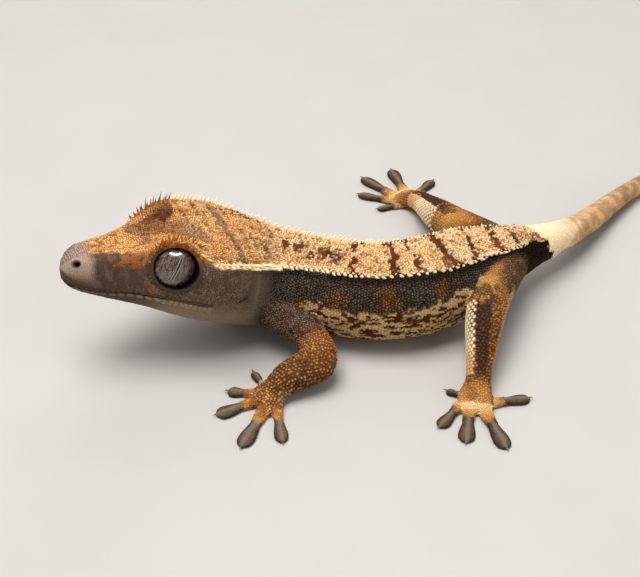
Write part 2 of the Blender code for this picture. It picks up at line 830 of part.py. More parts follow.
def finish(gecko):
    """Paints the nodes and stands the animal with the middle of its box over the origin."""
    low, high = np.full(3, np.inf), np.full(3, -np.inf)
    nodes = list(gecko.objects)
    groups = {"hand": "foot", "upper": "leg", "forearm": "leg", "thigh": "leg", "shank": "leg"}
    for obj in nodes:
        kind = obj.name.split("_")[0]
        paint(obj, obj.name, SKIN[groups.get(kind, kind)], 0.15 if kind == "eye" else 0.6)
        obj.data.shade_smooth()
        obj.data.set_sharp_from_angle(angle=math.radians(40))
        corners = np.array([v.co for v in obj.data.vertices])
        low, high = np.minimum(low, corners.min(axis=0)), np.maximum(high, corners.max(axis=0))
    centre = bpy.data.objects.new("gecko", None)
    gecko.objects.link(centre)
    centre.location = (-(low[0] + high[0]) / 2, -(low[1] + high[1]) / 2, -low[2])
    for obj in nodes:
        obj.parent = centre


def build():
    gecko = new_collection("crested_gecko")
    tools = new_collection("cutters")
    half = GAP / 2

    head = loft("head", [body_ring(s) for s in HEAD_STATIONS], gecko, start=body_point(0.0, 0.0, 1))
    neck = body_length("neck", HEAD_END + half, NECK_END - half, 6, gecko)
    torso = body_length("torso", NECK_END + half, TRUNK_END - half, 24, gecko)
    tail_length("tail_base", TRUNK_END + half, TAIL_BASE_END - half, 10, gecko)
    tail_length("tail_middle", TAIL_BASE_END + half, TAIL_MIDDLE_END - half, 10, gecko)
    tail_end = spine_at(SPINE_LENGTH)
    tail_length("tail_tip", TAIL_MIDDLE_END + half, SPINE_LENGTH - 0.4, 12, gecko, stop=tail_end)

    trunk = body_length("trunk", 20.0, TRUNK_END + 6, 40, tools)
    trunk_cutter = grown(trunk, GAP, "trunk_cutter", tools)
    for name, leg in LEGS.items():
        is_front = name.startswith("front")
        names = ("upper_arm", "forearm", "hand") if is_front else ("thigh", "shank", "foot")
        sizes = FRONT_LEG_SIZES if is_front else BACK_LEG_SIZES
        parts = FRONT_LEG_PARTS if is_front else BACK_LEG_PARTS
        make_leg(name, leg, names, sizes, parts, trunk_cutter, gecko, tools)

    face = []
    for side in (1, -1):
        face.append(lid_ring(f"lid_{side}", side, tools))
        face += brow_spines(side, tools)
    face += crest_spines(CREST_START, HEAD_END - 0.6, HEAD_SPINE, tools)
    join_all(head, face)
    join_all(neck, crest_spines(HEAD_END + 1.0, NECK_END - 0.7, HEAD_SPINE, tools))
    join_all(torso, crest_spines(NECK_END + 0.9, CREST_STOP, BACK_SPINE, tools))

    for side, word in ((1, "left"), (-1, "right")):
        eye_ball(f"eye_{word}", side, 0.0, gecko)
        cutters = [
            eye_ball(f"socket_{word}", side, GAP, tools),
            surface_opening(f"nostril_{word}", NOSTRIL, side, tools),
            surface_opening(f"ear_{word}", EAR, side, tools),
        ]
        cut(head, cutters)
    drop_collection(tools)
    finish(gecko)


for leftover in list(bpy.data.objects):
    bpy.data.objects.remove(leftover)
build()
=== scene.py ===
"""Looks of the crested gecko: one skin with granular scales, crests, lashes, eyes and claws, on a pale floor.

Sizes are in millimetres in the modelling frame of the solids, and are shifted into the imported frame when
a mesh is made. The body is a tube along the spine, each leg a tapered tube, and each toe another. A place
on the body is its distance s from the snout and its turn round the section: 90 is the back, 0 the left
side, 180 the right side and -90 the belly. A place on a leg or toe is its share of the length and a turn.
"""

import math

import bmesh
import bpy
import numpy as np
from mathutils import Matrix, Vector
from mathutils.bvhtree import BVHTree
from mathutils.kdtree import KDTree


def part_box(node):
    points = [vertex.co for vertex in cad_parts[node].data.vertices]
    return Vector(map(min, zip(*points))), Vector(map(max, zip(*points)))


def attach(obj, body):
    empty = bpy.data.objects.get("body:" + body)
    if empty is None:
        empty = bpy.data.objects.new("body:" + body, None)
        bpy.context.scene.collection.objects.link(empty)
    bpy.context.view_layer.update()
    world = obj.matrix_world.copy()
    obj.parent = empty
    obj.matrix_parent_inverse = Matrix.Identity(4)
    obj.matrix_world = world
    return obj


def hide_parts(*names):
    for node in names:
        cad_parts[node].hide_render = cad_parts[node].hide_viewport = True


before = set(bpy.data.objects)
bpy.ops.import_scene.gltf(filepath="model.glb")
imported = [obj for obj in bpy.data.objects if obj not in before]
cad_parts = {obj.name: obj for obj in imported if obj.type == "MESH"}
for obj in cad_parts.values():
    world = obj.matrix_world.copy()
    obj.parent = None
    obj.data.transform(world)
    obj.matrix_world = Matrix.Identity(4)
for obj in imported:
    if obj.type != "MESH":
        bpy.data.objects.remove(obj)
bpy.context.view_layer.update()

MM = 0.001

# The solids' own sizes. The head is a straight wedge, and the rest follows the spine.
SNOUT_TIP = (-36.0, -7.2, 15.9)
HEAD_YAW = 24.0
HEAD_PITCH = 15.5
HEAD_ROLL = 3.0
HEAD_LENGTH = 25.0
SPINE = (
    (-7.5, 4.6, 7.6),
    (-1.0, 3.4, 7.3),
    (6.0, 1.9, 7.2),
    (12.5, 2.2, 7.2),
    (18.8, 4.8, 7.0),
    (24.6, 8.8, 6.8),
    (30.6, 13.2, 6.4),
    (36.0, 17.0, 5.6),
    (41.0, 21.8, 4.3),
    (46.0, 28.2, 2.9),
    (52.5, 36.2, 1.9),
    (61.0, 43.6, 1.4),
    (72.0, 47.4, 1.15),
    (83.0, 45.5, 0.85),
    (90.0, 40.0, 0.6),
)
# Distance from the snout, half width, height of the widest line, top, bottom, squareness above and below.
BODY_PROFILE = (
    (0.0, 0.00, 1.9, 1.9, 1.9, 2.0, 2.0),
    (0.5, 1.40, 1.9, 3.2, 0.3, 2.1, 2.0),
    (1.5, 2.35, 1.8, 4.2, -0.7, 2.2, 2.1),
    (3.0, 3.05, 1.8, 4.9, -1.3, 2.3, 2.2),
    (5.5, 3.75, 1.9, 5.5, -1.9, 2.3, 2.3),
    (8.5, 4.60, 2.4, 6.2, -2.5, 2.4, 2.4),
    (11.5, 5.70, 3.2, 7.2, -3.0, 2.5, 2.5),
    (14.3, 6.75, 4.1, 8.2, -3.8, 2.6, 2.5),
    (17.0, 7.80, 4.8, 8.7, -4.5, 2.8, 2.5),
    (20.0, 8.60, 5.2, 9.0, -5.2, 3.0, 2.5),
    (23.0, 8.70, 5.0, 8.8, -5.9, 3.0, 2.5),
    (26.0, 8.20, 3.9, 8.2, -6.4, 2.8, 2.5),
    (29.5, 7.40, 2.2, 7.1, -6.7, 2.5, 2.5),
    (34.0, 6.80, 0.4, 6.0, -6.5, 2.3, 2.3),
    (41.0, 7.10, -0.2, 5.8, -6.5, 2.3, 2.1),
    (49.0, 7.50, -0.4, 5.8, -6.6, 2.4, 2.1),
    (56.0, 7.20, -0.3, 6.0, -6.4, 2.4, 2.1),
    (62.0, 6.30, -0.1, 5.9, -5.8, 2.4, 2.1),
    (68.0, 5.10, 0.0, 4.7, -4.9, 2.3, 2.0),
    (73.0, 4.00, 0.0, 3.7, -4.1, 2.2, 2.0),
    (78.0, 2.95, 0.0, 2.9, -3.1, 2.1, 2.0),
    (84.0, 2.40, 0.0, 2.4, -2.5, 2.0, 2.0),
    (95.0, 1.95, 0.0, 1.9, -2.0, 2.0, 2.0),
    (110.0, 1.45, 0.0, 1.45, -1.6, 2.0, 2.0),
    (125.0, 1.10, 0.0, 1.1, -1.3, 2.0, 2.0),
    (138.0, 0.85, 0.0, 0.8, -1.0, 2.0, 2.0),
    (144.0, 1.30, 0.0, 0.6, -0.9, 2.2, 2.0),
    (148.0, 1.25, 0.0, 0.5, -0.8, 2.2, 2.0),
    (150.0, 0.00, 0.0, 0.0, 0.0, 2.0, 2.0),
)
CREST_ANGLE = (
    (0, 52), (9, 54), (11.5, 60), (15.5, 60), (17.5, 42), (19.5, 27), (24, 28), (26, 33), (28, 39), (30, 45),
    (32, 50), (34, 54), (37, 59), (41, 61.5), (50, 61.5), (57, 57), (64, 53), (74, 46), (85, 30), (150, 30),
)
MOUTH_HEIGHT = (
    (0, 0.9), (1.5, 0.4), (5, 0.3), (10, 0.9), (15, 1.2), (19.5, 0.9), (24, 0.0), (34, -1.8), (150, -0.5),
)
# Swellings: distance from the snout, section angle, height, spread along, spread round.
SWELLINGS = (
    (13.9, 60.0, 1.6, 2.6, 14.0),
    (14.5, 90.0, -0.9, 5.0, 13.0),
    (7.5, 52.0, 0.45, 3.4, 13.0),
    (8.5, 14.0, -0.35, 2.4, 16.0),
    (2.2, 25.0, 0.30, 1.4, 22.0),
    (14.3, 18.0, 1.0, 2.8, 24.0),
    (21.5, -12.0, 0.45, 2.6, 18.0),
)
CREST_HEIGHT = 0.45
CREST_SPREAD = 5.0
MOUTH_CORNER = 19.5
NECK_START = 26.0
TRUNK_START = 33.0
TRUNK_MIDDLE = 54.0
TRUNK_END = 74.0

EYE_AT = 14.3
EYE_OUT = 5.0
EYE_UP = 5.6
EYE_FORWARD = 0.22
EYE_RAISED = 0.30
EYE_RADIUS = 3.0
EYE_DEPTH = 2.2
LID_RING = 3.32
LID_THICKNESS = 0.42
LID_OUT = 0.45
PUPIL_TILT = 16.0
PUPIL_HALF_LENGTH = 0.86
CLAW_LENGTH = 0.7
CLAW_RADIUS = 0.14

NOSTRIL = (1.6, 46.0)
NOSTRIL_RADIUS = 0.42
EAR = (23.7, -10.0)
EAR_HALF_LENGTH = 1.15
EAR_HALF_WIDTH = 0.2
EAR_GAPE = 1.6
EAR_SLANT = 38.0

# Each leg's line from inside the body to the end of the palm, then the tips of its toes.
LEGS = {
    "front_left": {
        "line": (
            (-7.6, -1.6, 5.9), (1.8, -9.2, 4.3), (-5.3, -13.1, 2.4), (-7.3, -14.8, 0.85), (-8.8, -15.9, 0.6),
        ),
        "toes": ((-9.7, -8.5), (-13.1, -12.7), (-14.4, -17.7), (-10.6, -24.0), (-5.0, -23.1)),
    },
    "front_right": {
        "line": (
            (-5.6, 7.6, 6.0), (-0.6, 16.2, 4.4), (-8.2, 19.6, 2.3), (-10.7, 20.7, 0.85), (-12.2, 21.4, 0.6),
        ),
        "toes": ((-11.4, 14.6), (-16.6, 16.6), (-19.2, 21.4), (-17.0, 27.0), (-9.8, 27.6)),
    },
    "back_left": {
        "line": (
            (28.4, 9.8, 6.4), (24.0, -2.2, 8.0), (22.2, -12.6, 2.4), (21.5, -15.7, 0.85), (21.4, -17.4, 0.6),
        ),
        "toes": ((17.8, -12.6), (16.2, -20.1), (19.6, -23.1), (25.0, -24.3), (29.5, -14.2)),
    },
    "back_right": {
        "line": (
            (29.5, 13.0, 5.8), (21.6, 20.8, 5.7), (16.9, 33.6, 2.4), (14.7, 37.0, 0.85), (13.6, 38.4, 0.6),
        ),
        "toes": ((9.8, 34.0), (6.6, 38.8), (7.4, 44.4), (12.8, 47.2), (20.2, 43.4)),
    },
}
FRONT_LEG_SIZES = (
    (0.0, 2.5, 2.5), (0.2, 2.45, 2.45), (0.42, 2.4, 2.4), (0.58, 2.6, 2.5),
    (0.72, 2.4, 2.1), (0.84, 2.0, 1.45), (0.93, 2.6, 1.1), (1.0, 2.3, 0.7),
)
BACK_LEG_SIZES = (
    (0.0, 3.4, 3.4), (0.2, 3.3, 3.2), (0.42, 2.8, 2.8), (0.52, 2.6, 2.6),
    (0.66, 2.05, 2.05), (0.82, 1.6, 1.5), (0.92, 2.4, 1.1), (1.0, 2.5, 0.7),
)
BEND_ROUNDING = 0.3
TOE_SIZES = (
    (0.0, 1.0, 0.62), (0.2, 0.82, 0.56), (0.4, 0.66, 0.5), (0.56, 0.86, 0.45),
    (0.76, 1.08, 0.42), (0.92, 0.95, 0.38), (1.0, 0.5, 0.3),
)
TOE_ROOT_LIFT = 0.6
TOE_MIDDLE_LIFT = 0.38
TOE_TIP_LIFT = 0.24
TOE_ROOTS = ((-1.5, 2.2, 0.62), (-1.9, 0.6, 0.95), (-0.7, 0.1, 1.15), (1.1, 0.1, 1.15), (1.8, 1.3, 0.95))

# The skin's mesh: the voxel, how far apart the samples of the tubes lie along them, how many lie round each,
# where a limb's samples end as a share of its length, and how much of a leg's and a toe's end is rounded.
SKIN_VOXEL = 0.21
SAMPLE_STEP = 0.28
BODY_COLUMNS = 168
LEG_COLUMNS = 60
TOE_COLUMNS = 32
LIMB_END = 0.9995
LEG_ROUNDED = 0.03
TOE_ROUNDED = 0.16
# The skin's smoothing: how hollow a crease is, how far it is spread, and the passes and pull that fill it,
# then the pulls that smooth the whole skin without shrinking it.
CREASE_HOLLOW = 0.10
CREASE_SPREAD = 5
CREASE_PASSES = 26
CREASE_PULL = 0.6
SMOOTHING_PULLS = (0.5, -0.52) * 3

# The scales: the distance between rows as a share of the pitch, the least distance between two scales as a
# share of the smaller one, and the side of the cells that are searched for neighbours.
ROW_SPACING = 0.87
LEAST_DISTANCE = 0.62
SEARCH_CELL = 0.45
DOME_SIDES = 6
# How far one scale or spine spreads on the unwrap.
UNWRAP_SPREAD = 0.0015
# The starting number of each set of random draws.
SCALE_SEED = 4
CREST_SEED = 11
LASH_SEED = 23
LIP_SEED = 31
SHANK_SEED = 41


def curve_through(points):
    """A smooth function through rows of (distance, value, ...), with no overshoot between rows."""
    table = np.array(points, float)
    x, y = table[:, 0], table[:, 1:]
    step = np.diff(x)
    slope = np.diff(y, axis=0) / step[:, None]
    tangent = np.zeros_like(y)
    tangent[0], tangent[-1] = slope[0], slope[-1]
    before, after = slope[:-1], slope[1:]
    heavy, light = (2 * step[1:] + step[:-1])[:, None], (step[1:] + 2 * step[:-1])[:, None]
    with np.errstate(divide="ignore", invalid="ignore"):
        mean = (heavy + light) / (heavy / before + light / after)
    tangent[1:-1] = np.where(before * after > 0, mean, 0.0)

    def value(at):
        at = np.clip(at, x[0], x[-1])
        i = np.clip(np.searchsorted(x, at) - 1, 0, len(step) - 1)
        h = step[i][..., None]
        t = (at - x[i])[..., None] / h
        a = 2 * t**3 - 3 * t**2 + 1
        leaving = (t**3 - 2 * t**2 + t) * h * tangent[i]
        reaching = (t**3 - t**2) * h * tangent[i + 1]
        return a * y[i] + leaving + (1 - a) * y[i + 1] + reaching

    return value


def natural_spline(knots, points):
    """The curve with even curvature through the points, as a function of the distance in knots."""
    knots, points = np.array(knots, float), np.array(points, float)
    step = np.diff(knots)
    n = len(knots)
    system = np.eye(n)
    right = np.zeros_like(points)
    for i in range(1, n - 1):
        system[i, i - 1 : i + 2] = step[i - 1], 2 * (step[i - 1] + step[i]), step[i]
        slope_after = (points[i + 1] - points[i]) / step[i]
        slope_before = (points[i] - points[i - 1]) / step[i - 1]
        right[i] = 6 * (slope_after - slope_before)
    bend = np.linalg.solve(system, right)

    def value(at):
        at = np.asarray(at, float)
        i = np.clip(np.searchsorted(knots, at) - 1, 0, n - 2)
        h = step[i][..., None]
        a, b = (knots[i + 1] - at)[..., None], (at - knots[i])[..., None]
        bent = (bend[i] * a**3 + bend[i + 1] * b**3) / (6 * h)
        return bent + (points[i] / h - bend[i] * h / 6) * a + (points[i + 1] / h - bend[i + 1] * h / 6) * b

    return value


def unit(v):
    v = np.asarray(v, float)
    return v / np.linalg.norm(v, axis=-1, keepdims=True)


def smooth_step(low, high, value):
    t = np.clip((value - low) / (high - low), 0.0, 1.0)
    return t * t * (3 - 2 * t)


def hump(value, centre, spread):
    return np.exp(-(((value - centre) / spread) ** 2) / 2)


def power(value, exponent):
    return np.sign(value) * np.abs(value) ** exponent


def rotation(axis, degrees):
    """The matrix that turns about an axis, right-handed."""
    x, y, z = unit(axis)
    cross = np.array(((0, -z, y), (z, 0, -x), (-y, x, 0)))
    angle = math.radians(degrees)
    return np.eye(3) + math.sin(angle) * cross + (1 - math.cos(angle)) * cross @ cross


HEAD_TURN = rotation((0, 0, 1), HEAD_YAW) @ rotation((0, 1, 0), HEAD_PITCH) @ rotation((1, 0, 0), HEAD_ROLL)
HEAD_BACK, HEAD_LEFT, HEAD_UP = HEAD_TURN @ (1.0, 0, 0), HEAD_TURN @ (0, -1.0, 0), HEAD_TURN @ (0, 0, 1.0)


def head_point(back, left, up):
    """A point of the head from its distances behind the snout, to the left and up."""
    return np.array(SNOUT_TIP) + back * HEAD_BACK + left * HEAD_LEFT + up * HEAD_UP


def distances(points):
    return np.concatenate([[0.0], np.cumsum(np.linalg.norm(np.diff(points, axis=0), axis=1))])


SPINE_POINTS = np.array([head_point(s, 0, 0) for s in (0.0, 8.0, 16.0, HEAD_LENGTH - 3.0)] + list(SPINE))
SPINE_LENGTH = float(distances(SPINE_POINTS)[-1])
spine_at = natural_spline(distances(SPINE_POINTS), SPINE_POINTS)
profile_at = curve_through(BODY_PROFILE)
crest_angle_curve = curve_through(CREST_ANGLE)
mouth_height_curve = curve_through(MOUTH_HEIGHT)
roll_curve = curve_through(((0, HEAD_ROLL), (HEAD_LENGTH, HEAD_ROLL), (38, 0), (150, 0)))


def crest_angle_at(s):
    return crest_angle_curve(np.asarray(s, float))[..., 0]


def section_angle(turn):
    """The angle on the section, from -90 at the belly to 90 at the back, and the side, 1 on the left."""
    turn = (np.asarray(turn, float) + 90) % 360 - 90
    return np.where(turn > 90, 180 - turn, turn), np.where(turn > 90, -1.0, 1.0)


def body_frame(s):
    """Origin, tailward direction, left and up at distances along the spine."""
    s = np.asarray(s, float)
    along = unit(spine_at(np.minimum(s + 0.3, SPINE_LENGTH)) - spine_at(np.maximum(s - 0.3, 0.0)))
    left = unit(np.cross(along, (0, 0, 1.0)))
    up = np.cross(left, along)
    roll = np.radians(roll_curve(s))
    turned_left = np.cos(roll) * left + np.sin(roll) * np.cross(along, left)
    turned_up = np.cos(roll) * up + np.sin(roll) * np.cross(along, up)
    return spine_at(s), along, turned_left, turned_up


def swelling(s, angle):
    """How far the surface stands out at this place."""
    total = np.zeros(np.broadcast(s, angle).shape)
    for place, turn, height, along, around in SWELLINGS:
        total = total + height * hump(s, place, along) * hump(angle, turn, around)
    crest = smooth_step(9.0, 15.0, s) * (1 - smooth_step(68.0, 78.0, s))
    return total + crest * CREST_HEIGHT * hump(angle, crest_angle_at(s), CREST_SPREAD)


def body_surface(s, turn):
    """Points of the body's skin at distances along the spine and turns round it."""
    s, turn = np.broadcast_arrays(np.asarray(s, float), np.asarray(turn, float))
    angle, side = section_angle(turn)
    width, middle, top, bottom, upper, lower = np.moveaxis(profile_at(s), -1, 0)
    origin, _, left, up = body_frame(s)
    c, n = np.cos(np.radians(angle)), np.sin(np.radians(angle))
    above = angle >= 0
    square = 2 / np.where(above, upper, lower)
    bump = np.where(s < 80, swelling(s, angle) * np.minimum(1.0, s / 1.5), 0.0)
    across = width * power(c, square) + bump * c
    height = middle + np.where(above, top - middle, middle - bottom) * power(n, square) + bump * n
    point = origin + (side * across)[..., None] * left + height[..., None] * up
    point[..., 2] = np.maximum(point[..., 2], 0.0)
    return point


def mouth_angle_at(s):
    """The section angle at which the mouth's line runs."""
    _, middle, _, bottom, _, square = np.moveaxis(profile_at(np.asarray(s, float)), -1, 0)
    depth = middle - mouth_height_curve(np.asarray(s, float))[..., 0]
    share = np.clip(depth / np.maximum(middle - bottom, 1e-6), 0.02, 0.95)
    return -np.degrees(np.arcsin(share ** (square / 2)))


def limb_surface(line, size_at, rounded):
    """The function that gives a limb's or toe's skin at shares of its length and turns round it."""

    def surface(share, turn):
        share, turn = np.broadcast_arrays(np.asarray(share, float), np.asarray(turn, float))
        along = unit(line(np.minimum(share + 0.01, 1.0)) - line(np.maximum(share - 0.01, 0.0)))
        across = unit(np.cross(along, (0, 0, 1.0)))
        depth = np.cross(across, along)
        half_width, half_depth = np.moveaxis(size_at(share), -1, 0)
        over = np.clip((share - 1 + rounded) / rounded, 0.0, 1.0)
        close = np.sqrt(1 - over**2 * 0.999)
        wide = (half_width * close * np.cos(np.radians(turn)))[..., None] * across
        deep = (half_depth * close * np.sin(np.radians(turn)))[..., None] * depth
        point = line(share) + wide + deep
        point[..., 2] = np.maximum(point[..., 2], 0.0)
        return point

    return surface


def line_through(points):
    """A smooth curve through points, as a function of the share of its length, and its length."""
    points = np.array(points, float)
    knots = distances(points)
    curve = natural_spline(knots, points)
    return (lambda share: curve(np.asarray(share) * knots[-1])), float(knots[-1])


def rounded_line(points):
    """The points of a bent line, each inner corner replaced by two points beside it."""
    points = [np.array(p, float) for p in points]
    line = [points[0]]
    for before, corner, after in zip(points, points[1:], points[2:]):
        line += [corner + BEND_ROUNDING * (before - corner), corner + BEND_ROUNDING * (after - corner)]
    return [*line, points[-1]]


QUARTER = 90 * smooth_step(0.0, 1.0, np.linspace(0, 1, 60, endpoint=False))
FINE_TURNS = np.concatenate([start + QUARTER for start in (-90, 0, 90, 180)] + [[270.0]])


class Sheet:
    """A tube of skin, sampled as a grid of rings, and the place of each sample on it."""

    def __init__(self, name, surface, first, last, rings, columns):
        self.name = name
        self.surface = surface
        self.along = np.linspace(first, last, rings)
        ring = surface(self.along[:, None], FINE_TURNS[None, :])
        lengths = np.linalg.norm(np.diff(ring, axis=1), axis=2)
        reached = np.concatenate([np.zeros((rings, 1)), np.cumsum(lengths, axis=1)], axis=1)
        share = np.linspace(0, 1, columns, endpoint=False)
        self.turns = np.array([np.interp(share * r[-1], r, FINE_TURNS) for r in reached])
        self.points = surface(self.along[:, None], self.turns)

    def place(self, i, j, p):
        """The place on the sheet of points p near the samples i, j, and the length of one degree of turn."""
        rings, columns = self.turns.shape
        before, after = np.maximum(i - 1, 0), np.minimum(i + 1, rings - 1)
        left, right = (j - 1) % columns, (j + 1) % columns
        rise = (self.along[after] - self.along[before])[:, None]
        tangent_u = (self.points[after, j] - self.points[before, j]) / rise
        span = (self.turns[i, right] - self.turns[i, left]) % 360
        tangent_v = (self.points[i, right] - self.points[i, left]) / np.maximum(span, 1e-6)[:, None]
        offset = p - self.points[i, j]
        uu, vv = (tangent_u**2).sum(1) + 1e-12, (tangent_v**2).sum(1) + 1e-12
        uv = (tangent_u * tangent_v).sum(1)
        du, dv = (offset * tangent_u).sum(1), (offset * tangent_v).sum(1)
        det = np.maximum(uu * vv - uv**2, 1e-12)
        step = self.along[1] - self.along[0]
        along = self.along[i] + np.clip((du * vv - dv * uv) / det, -step, step)
        turn = self.turns[i, j] + np.clip((dv * uu - du * uv) / det, -span, span)
        return np.clip(along, self.along[0], self.along[-1]), turn, np.sqrt(vv)

    def way_down(self, share, turn):
        """The way down the skin of a leg or toe."""
        return unit(self.surface(share + 0.02, turn) - self.surface(share - 0.02, turn))


def make_sheets():
    """The body, then each leg and its five toes."""
    rings = int(SPINE_LENGTH / SAMPLE_STEP)
    sheets = [Sheet("body", body_surface, 0.02, SPINE_LENGTH - 0.4, rings, BODY_COLUMNS)]
    for leg_name, leg in LEGS.items():
        sizes = FRONT_LEG_SIZES if leg_name.startswith("front") else BACK_LEG_SIZES
        line, length = line_through(rounded_line(leg["line"]))
        surface = limb_surface(line, curve_through(sizes), LEG_ROUNDED)
        rings = int(length / SAMPLE_STEP)
        sheets.append(Sheet(leg_name, surface, 0.0, LIMB_END, rings, LEG_COLUMNS))
        ahead = unit((line(1.0) - line(0.86)) * (1, 1, 0))
        aside = np.array((-ahead[1], ahead[0], 0.0))
        toes = leg["toes"]
        span = np.array((toes[4][0] - toes[0][0], toes[4][1] - toes[0][1], 0.0))
        aside *= math.copysign(1.0, span @ aside)
        for k, ((x, y), (sideways, back, width)) in enumerate(zip(toes, TOE_ROOTS)):
            tip = np.array((x, y, TOE_TIP_LIFT))
            root = line(0.97) + sideways * aside - back * ahead
            root[2] = TOE_ROOT_LIFT
            middle = 0.5 * (root + tip)
            middle[2] = TOE_MIDDLE_LIFT
            toe_line, toe_length = line_through([root, middle, tip])
            toe_sizes = [(share, width * half, depth) for share, half, depth in TOE_SIZES]
            surface = limb_surface(toe_line, curve_through(toe_sizes), TOE_ROUNDED)
            rings = int(toe_length / (0.8 * SAMPLE_STEP))
            sheets.append(Sheet(f"{leg_name}_toe_{k}", surface, 0.0, LIMB_END, rings, TOE_COLUMNS))
            sheets[-1].line = toe_line
    return sheets


SHEETS = make_sheets()
SHEET_NAMES = np.array([sheet.name for sheet in SHEETS])

# The modelling frame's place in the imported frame, read from the left eye, whose middle is known.
eye_low, eye_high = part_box("eye_left")
EYE_LEFT_MIDDLE = head_point(EYE_AT, EYE_OUT, EYE_UP)
SHIFT = (np.array(eye_low) + np.array(eye_high)) / 2 - EYE_LEFT_MIDDLE * MM


def linked(name, data):
    """A new object in the scene."""
    obj = bpy.data.objects.new(name, data)
    bpy.context.scene.collection.objects.link(obj)
    return obj


def move_vertices(mesh, points):
    mesh.vertices.foreach_set("co", points.astype(np.float32).ravel())


def make_mesh(name, points, face_groups, colours=None, uv=None, attributes=None):
    """An object from points in millimetres and groups of faces that have as many corners each."""
    mesh = bpy.data.meshes.new(name)
    corners = np.concatenate([group.ravel() for group in face_groups]).astype(np.int32)
    sizes = np.concatenate([np.full(len(group), group.shape[1]) for group in face_groups])
    mesh.vertices.add(len(points))
    move_vertices(mesh, points * MM + SHIFT)
    mesh.loops.add(len(corners))
    mesh.loops.foreach_set("vertex_index", corners)
    mesh.polygons.add(len(sizes))
    mesh.polygons.foreach_set("loop_start", np.concatenate([[0], np.cumsum(sizes)[:-1]]).astype(np.int32))
    mesh.update(calc_edges=True)
    mesh.validate()
    mesh.shade_smooth()
    if colours is not None:
        set_colours(mesh, colours)
    if uv is not None:
        layer = mesh.uv_layers.new(name="OFBake")
        layer.data.foreach_set("uv", uv[corners].astype(np.float32).ravel())
    for key, values in (attributes or {}).items():
        layer = mesh.attributes.new(key, "FLOAT_VECTOR", "POINT")
        layer.data.foreach_set("vector", values.astype(np.float32).ravel())
    return linked(name, mesh)


def set_colours(mesh, colours):
    layer = mesh.color_attributes.new("pigment", "FLOAT_COLOR", "POINT")
    rgba = np.concatenate([np.clip(colours, 0, 1), np.ones((len(colours), 1))], axis=1)
    layer.data.foreach_set("color", rgba.astype(np.float32).ravel())


def tube_faces(rings, columns, first=0):
    """The quads between neighbouring rings of a closed tube."""
    k = np.arange(columns)
    row = np.stack([k, (k + 1) % columns, (k + 1) % columns + columns, k + columns], axis=1)
    return (row[None] + (np.arange(rings - 1) * columns)[:, None, None]).reshape(-1, 4) + first


def raw_body():
    """All the tubes as closed shells in one mesh, in millimetres."""
    points, quads, fans, count = [], [], [], 0
    for sheet in SHEETS:
        rings, columns, _ = sheet.points.shape
        ends = np.stack([sheet.points[0].mean(axis=0), sheet.points[-1].mean(axis=0)])
        points += [sheet.points.reshape(-1, 3), ends]
        quads.append(tube_faces(rings, columns, count))
        start, stop = count + rings * columns, count + rings * columns + 1
        k = np.arange(columns)
        fans.append(np.stack([count + (k + 1) % columns, count + k, np.full(columns, start)], axis=1))
        last = count + (rings - 1) * columns
        fans.append(np.stack([last + k, last + (k + 1) % columns, np.full(columns, stop)], axis=1))
        count = stop + 1
    mesh = bpy.data.meshes.new("raw")
    faces = np.concatenate(quads).tolist() + np.concatenate(fans).tolist()
    mesh.from_pydata(np.concatenate(points).tolist(), [], faces)
    return linked("raw", mesh)


def applied(obj):
    """The object's mesh with its modifiers, the object itself removed."""
    bpy.context.view_layer.update()
    graph = bpy.context.evaluated_depsgraph_get()
    mesh = bpy.data.meshes.new_from_object(obj.evaluated_get(graph))
    bpy.data.objects.remove(obj)
    return mesh


def coordinates(mesh):
    co = np.empty(len(mesh.vertices) * 3, np.float32)
    mesh.vertices.foreach_get("co", co)
    return co.reshape(-1, 3).astype(float)


def edges_of(mesh):
    pairs = np.empty(len(mesh.edges) * 2, np.int32)
    mesh.edges.foreach_get("vertices", pairs)
    return pairs.reshape(-1, 2)


def neighbour_mean(values, pairs, count):
    """The mean of each vertex's neighbours."""
    a, b = pairs[:, 0], pairs[:, 1]
    degree = np.maximum(np.bincount(a, minlength=count) + np.bincount(b, minlength=count), 1)
    columns = []
    for k in range(values.shape[1]):
        column = values[:, k]
        columns.append(np.bincount(a, column[b], count) + np.bincount(b, column[a], count))
    return np.stack(columns, axis=1) / degree[:, None]


def spread_mask(mask, pairs, rings):
    """The mask grown outwards over a number of edges, then softened."""
    for _ in range(rings):
        grown = mask.copy()
        np.maximum.at(grown, pairs[:, 0], mask[pairs[:, 1]])
        np.maximum.at(grown, pairs[:, 1], mask[pairs[:, 0]])
        mask = grown
    for _ in range(rings):
        mask = neighbour_mean(mask[:, None], pairs, len(mask))[:, 0]
    return mask


class Places:
    """Where points lie on the animal: on the body, on the nearest leg or toe, and how much on each."""

    def __init__(self, points):
        points = np.asarray(points, float)
        body_near = [BODY_TREE.find(p) for p in points]
        limb_near = [LIMB_TREE.find(p) for p in points]
        index = np.array([near[1] for near in body_near])
        self.body_distance = np.array([near[2] for near in body_near])
        columns = SHEETS[0].turns.shape[1]
        self.s, self.turn, self.per_degree = SHEETS[0].place(index // columns, index % columns, points)
        self.angle, self.side = section_angle(self.turn)
        index = np.array([near[1] for near in limb_near])
        self.limb_distance = np.array([near[2] for near in limb_near])
        self.sheet = LIMB_SHEET[index]
        self.share, self.limb_turn = np.zeros(len(points)), np.zeros(len(points))
        for n in np.unique(self.sheet):
            here = self.sheet == n
            local = index[here] - LIMB_START[n]
            columns = SHEETS[n].turns.shape[1]
            place = SHEETS[n].place(local // columns, local % columns, points[here])
            self.share[here], self.limb_turn[here] = place[0], place[1]
        self.on_limb = smooth_step(-0.35, 0.35, self.body_distance - self.limb_distance)
        self.points = points


def tree_of(points):
    tree = KDTree(len(points))
    for k, p in enumerate(points):
        tree.insert(p, k)
    tree.balance()
    return tree


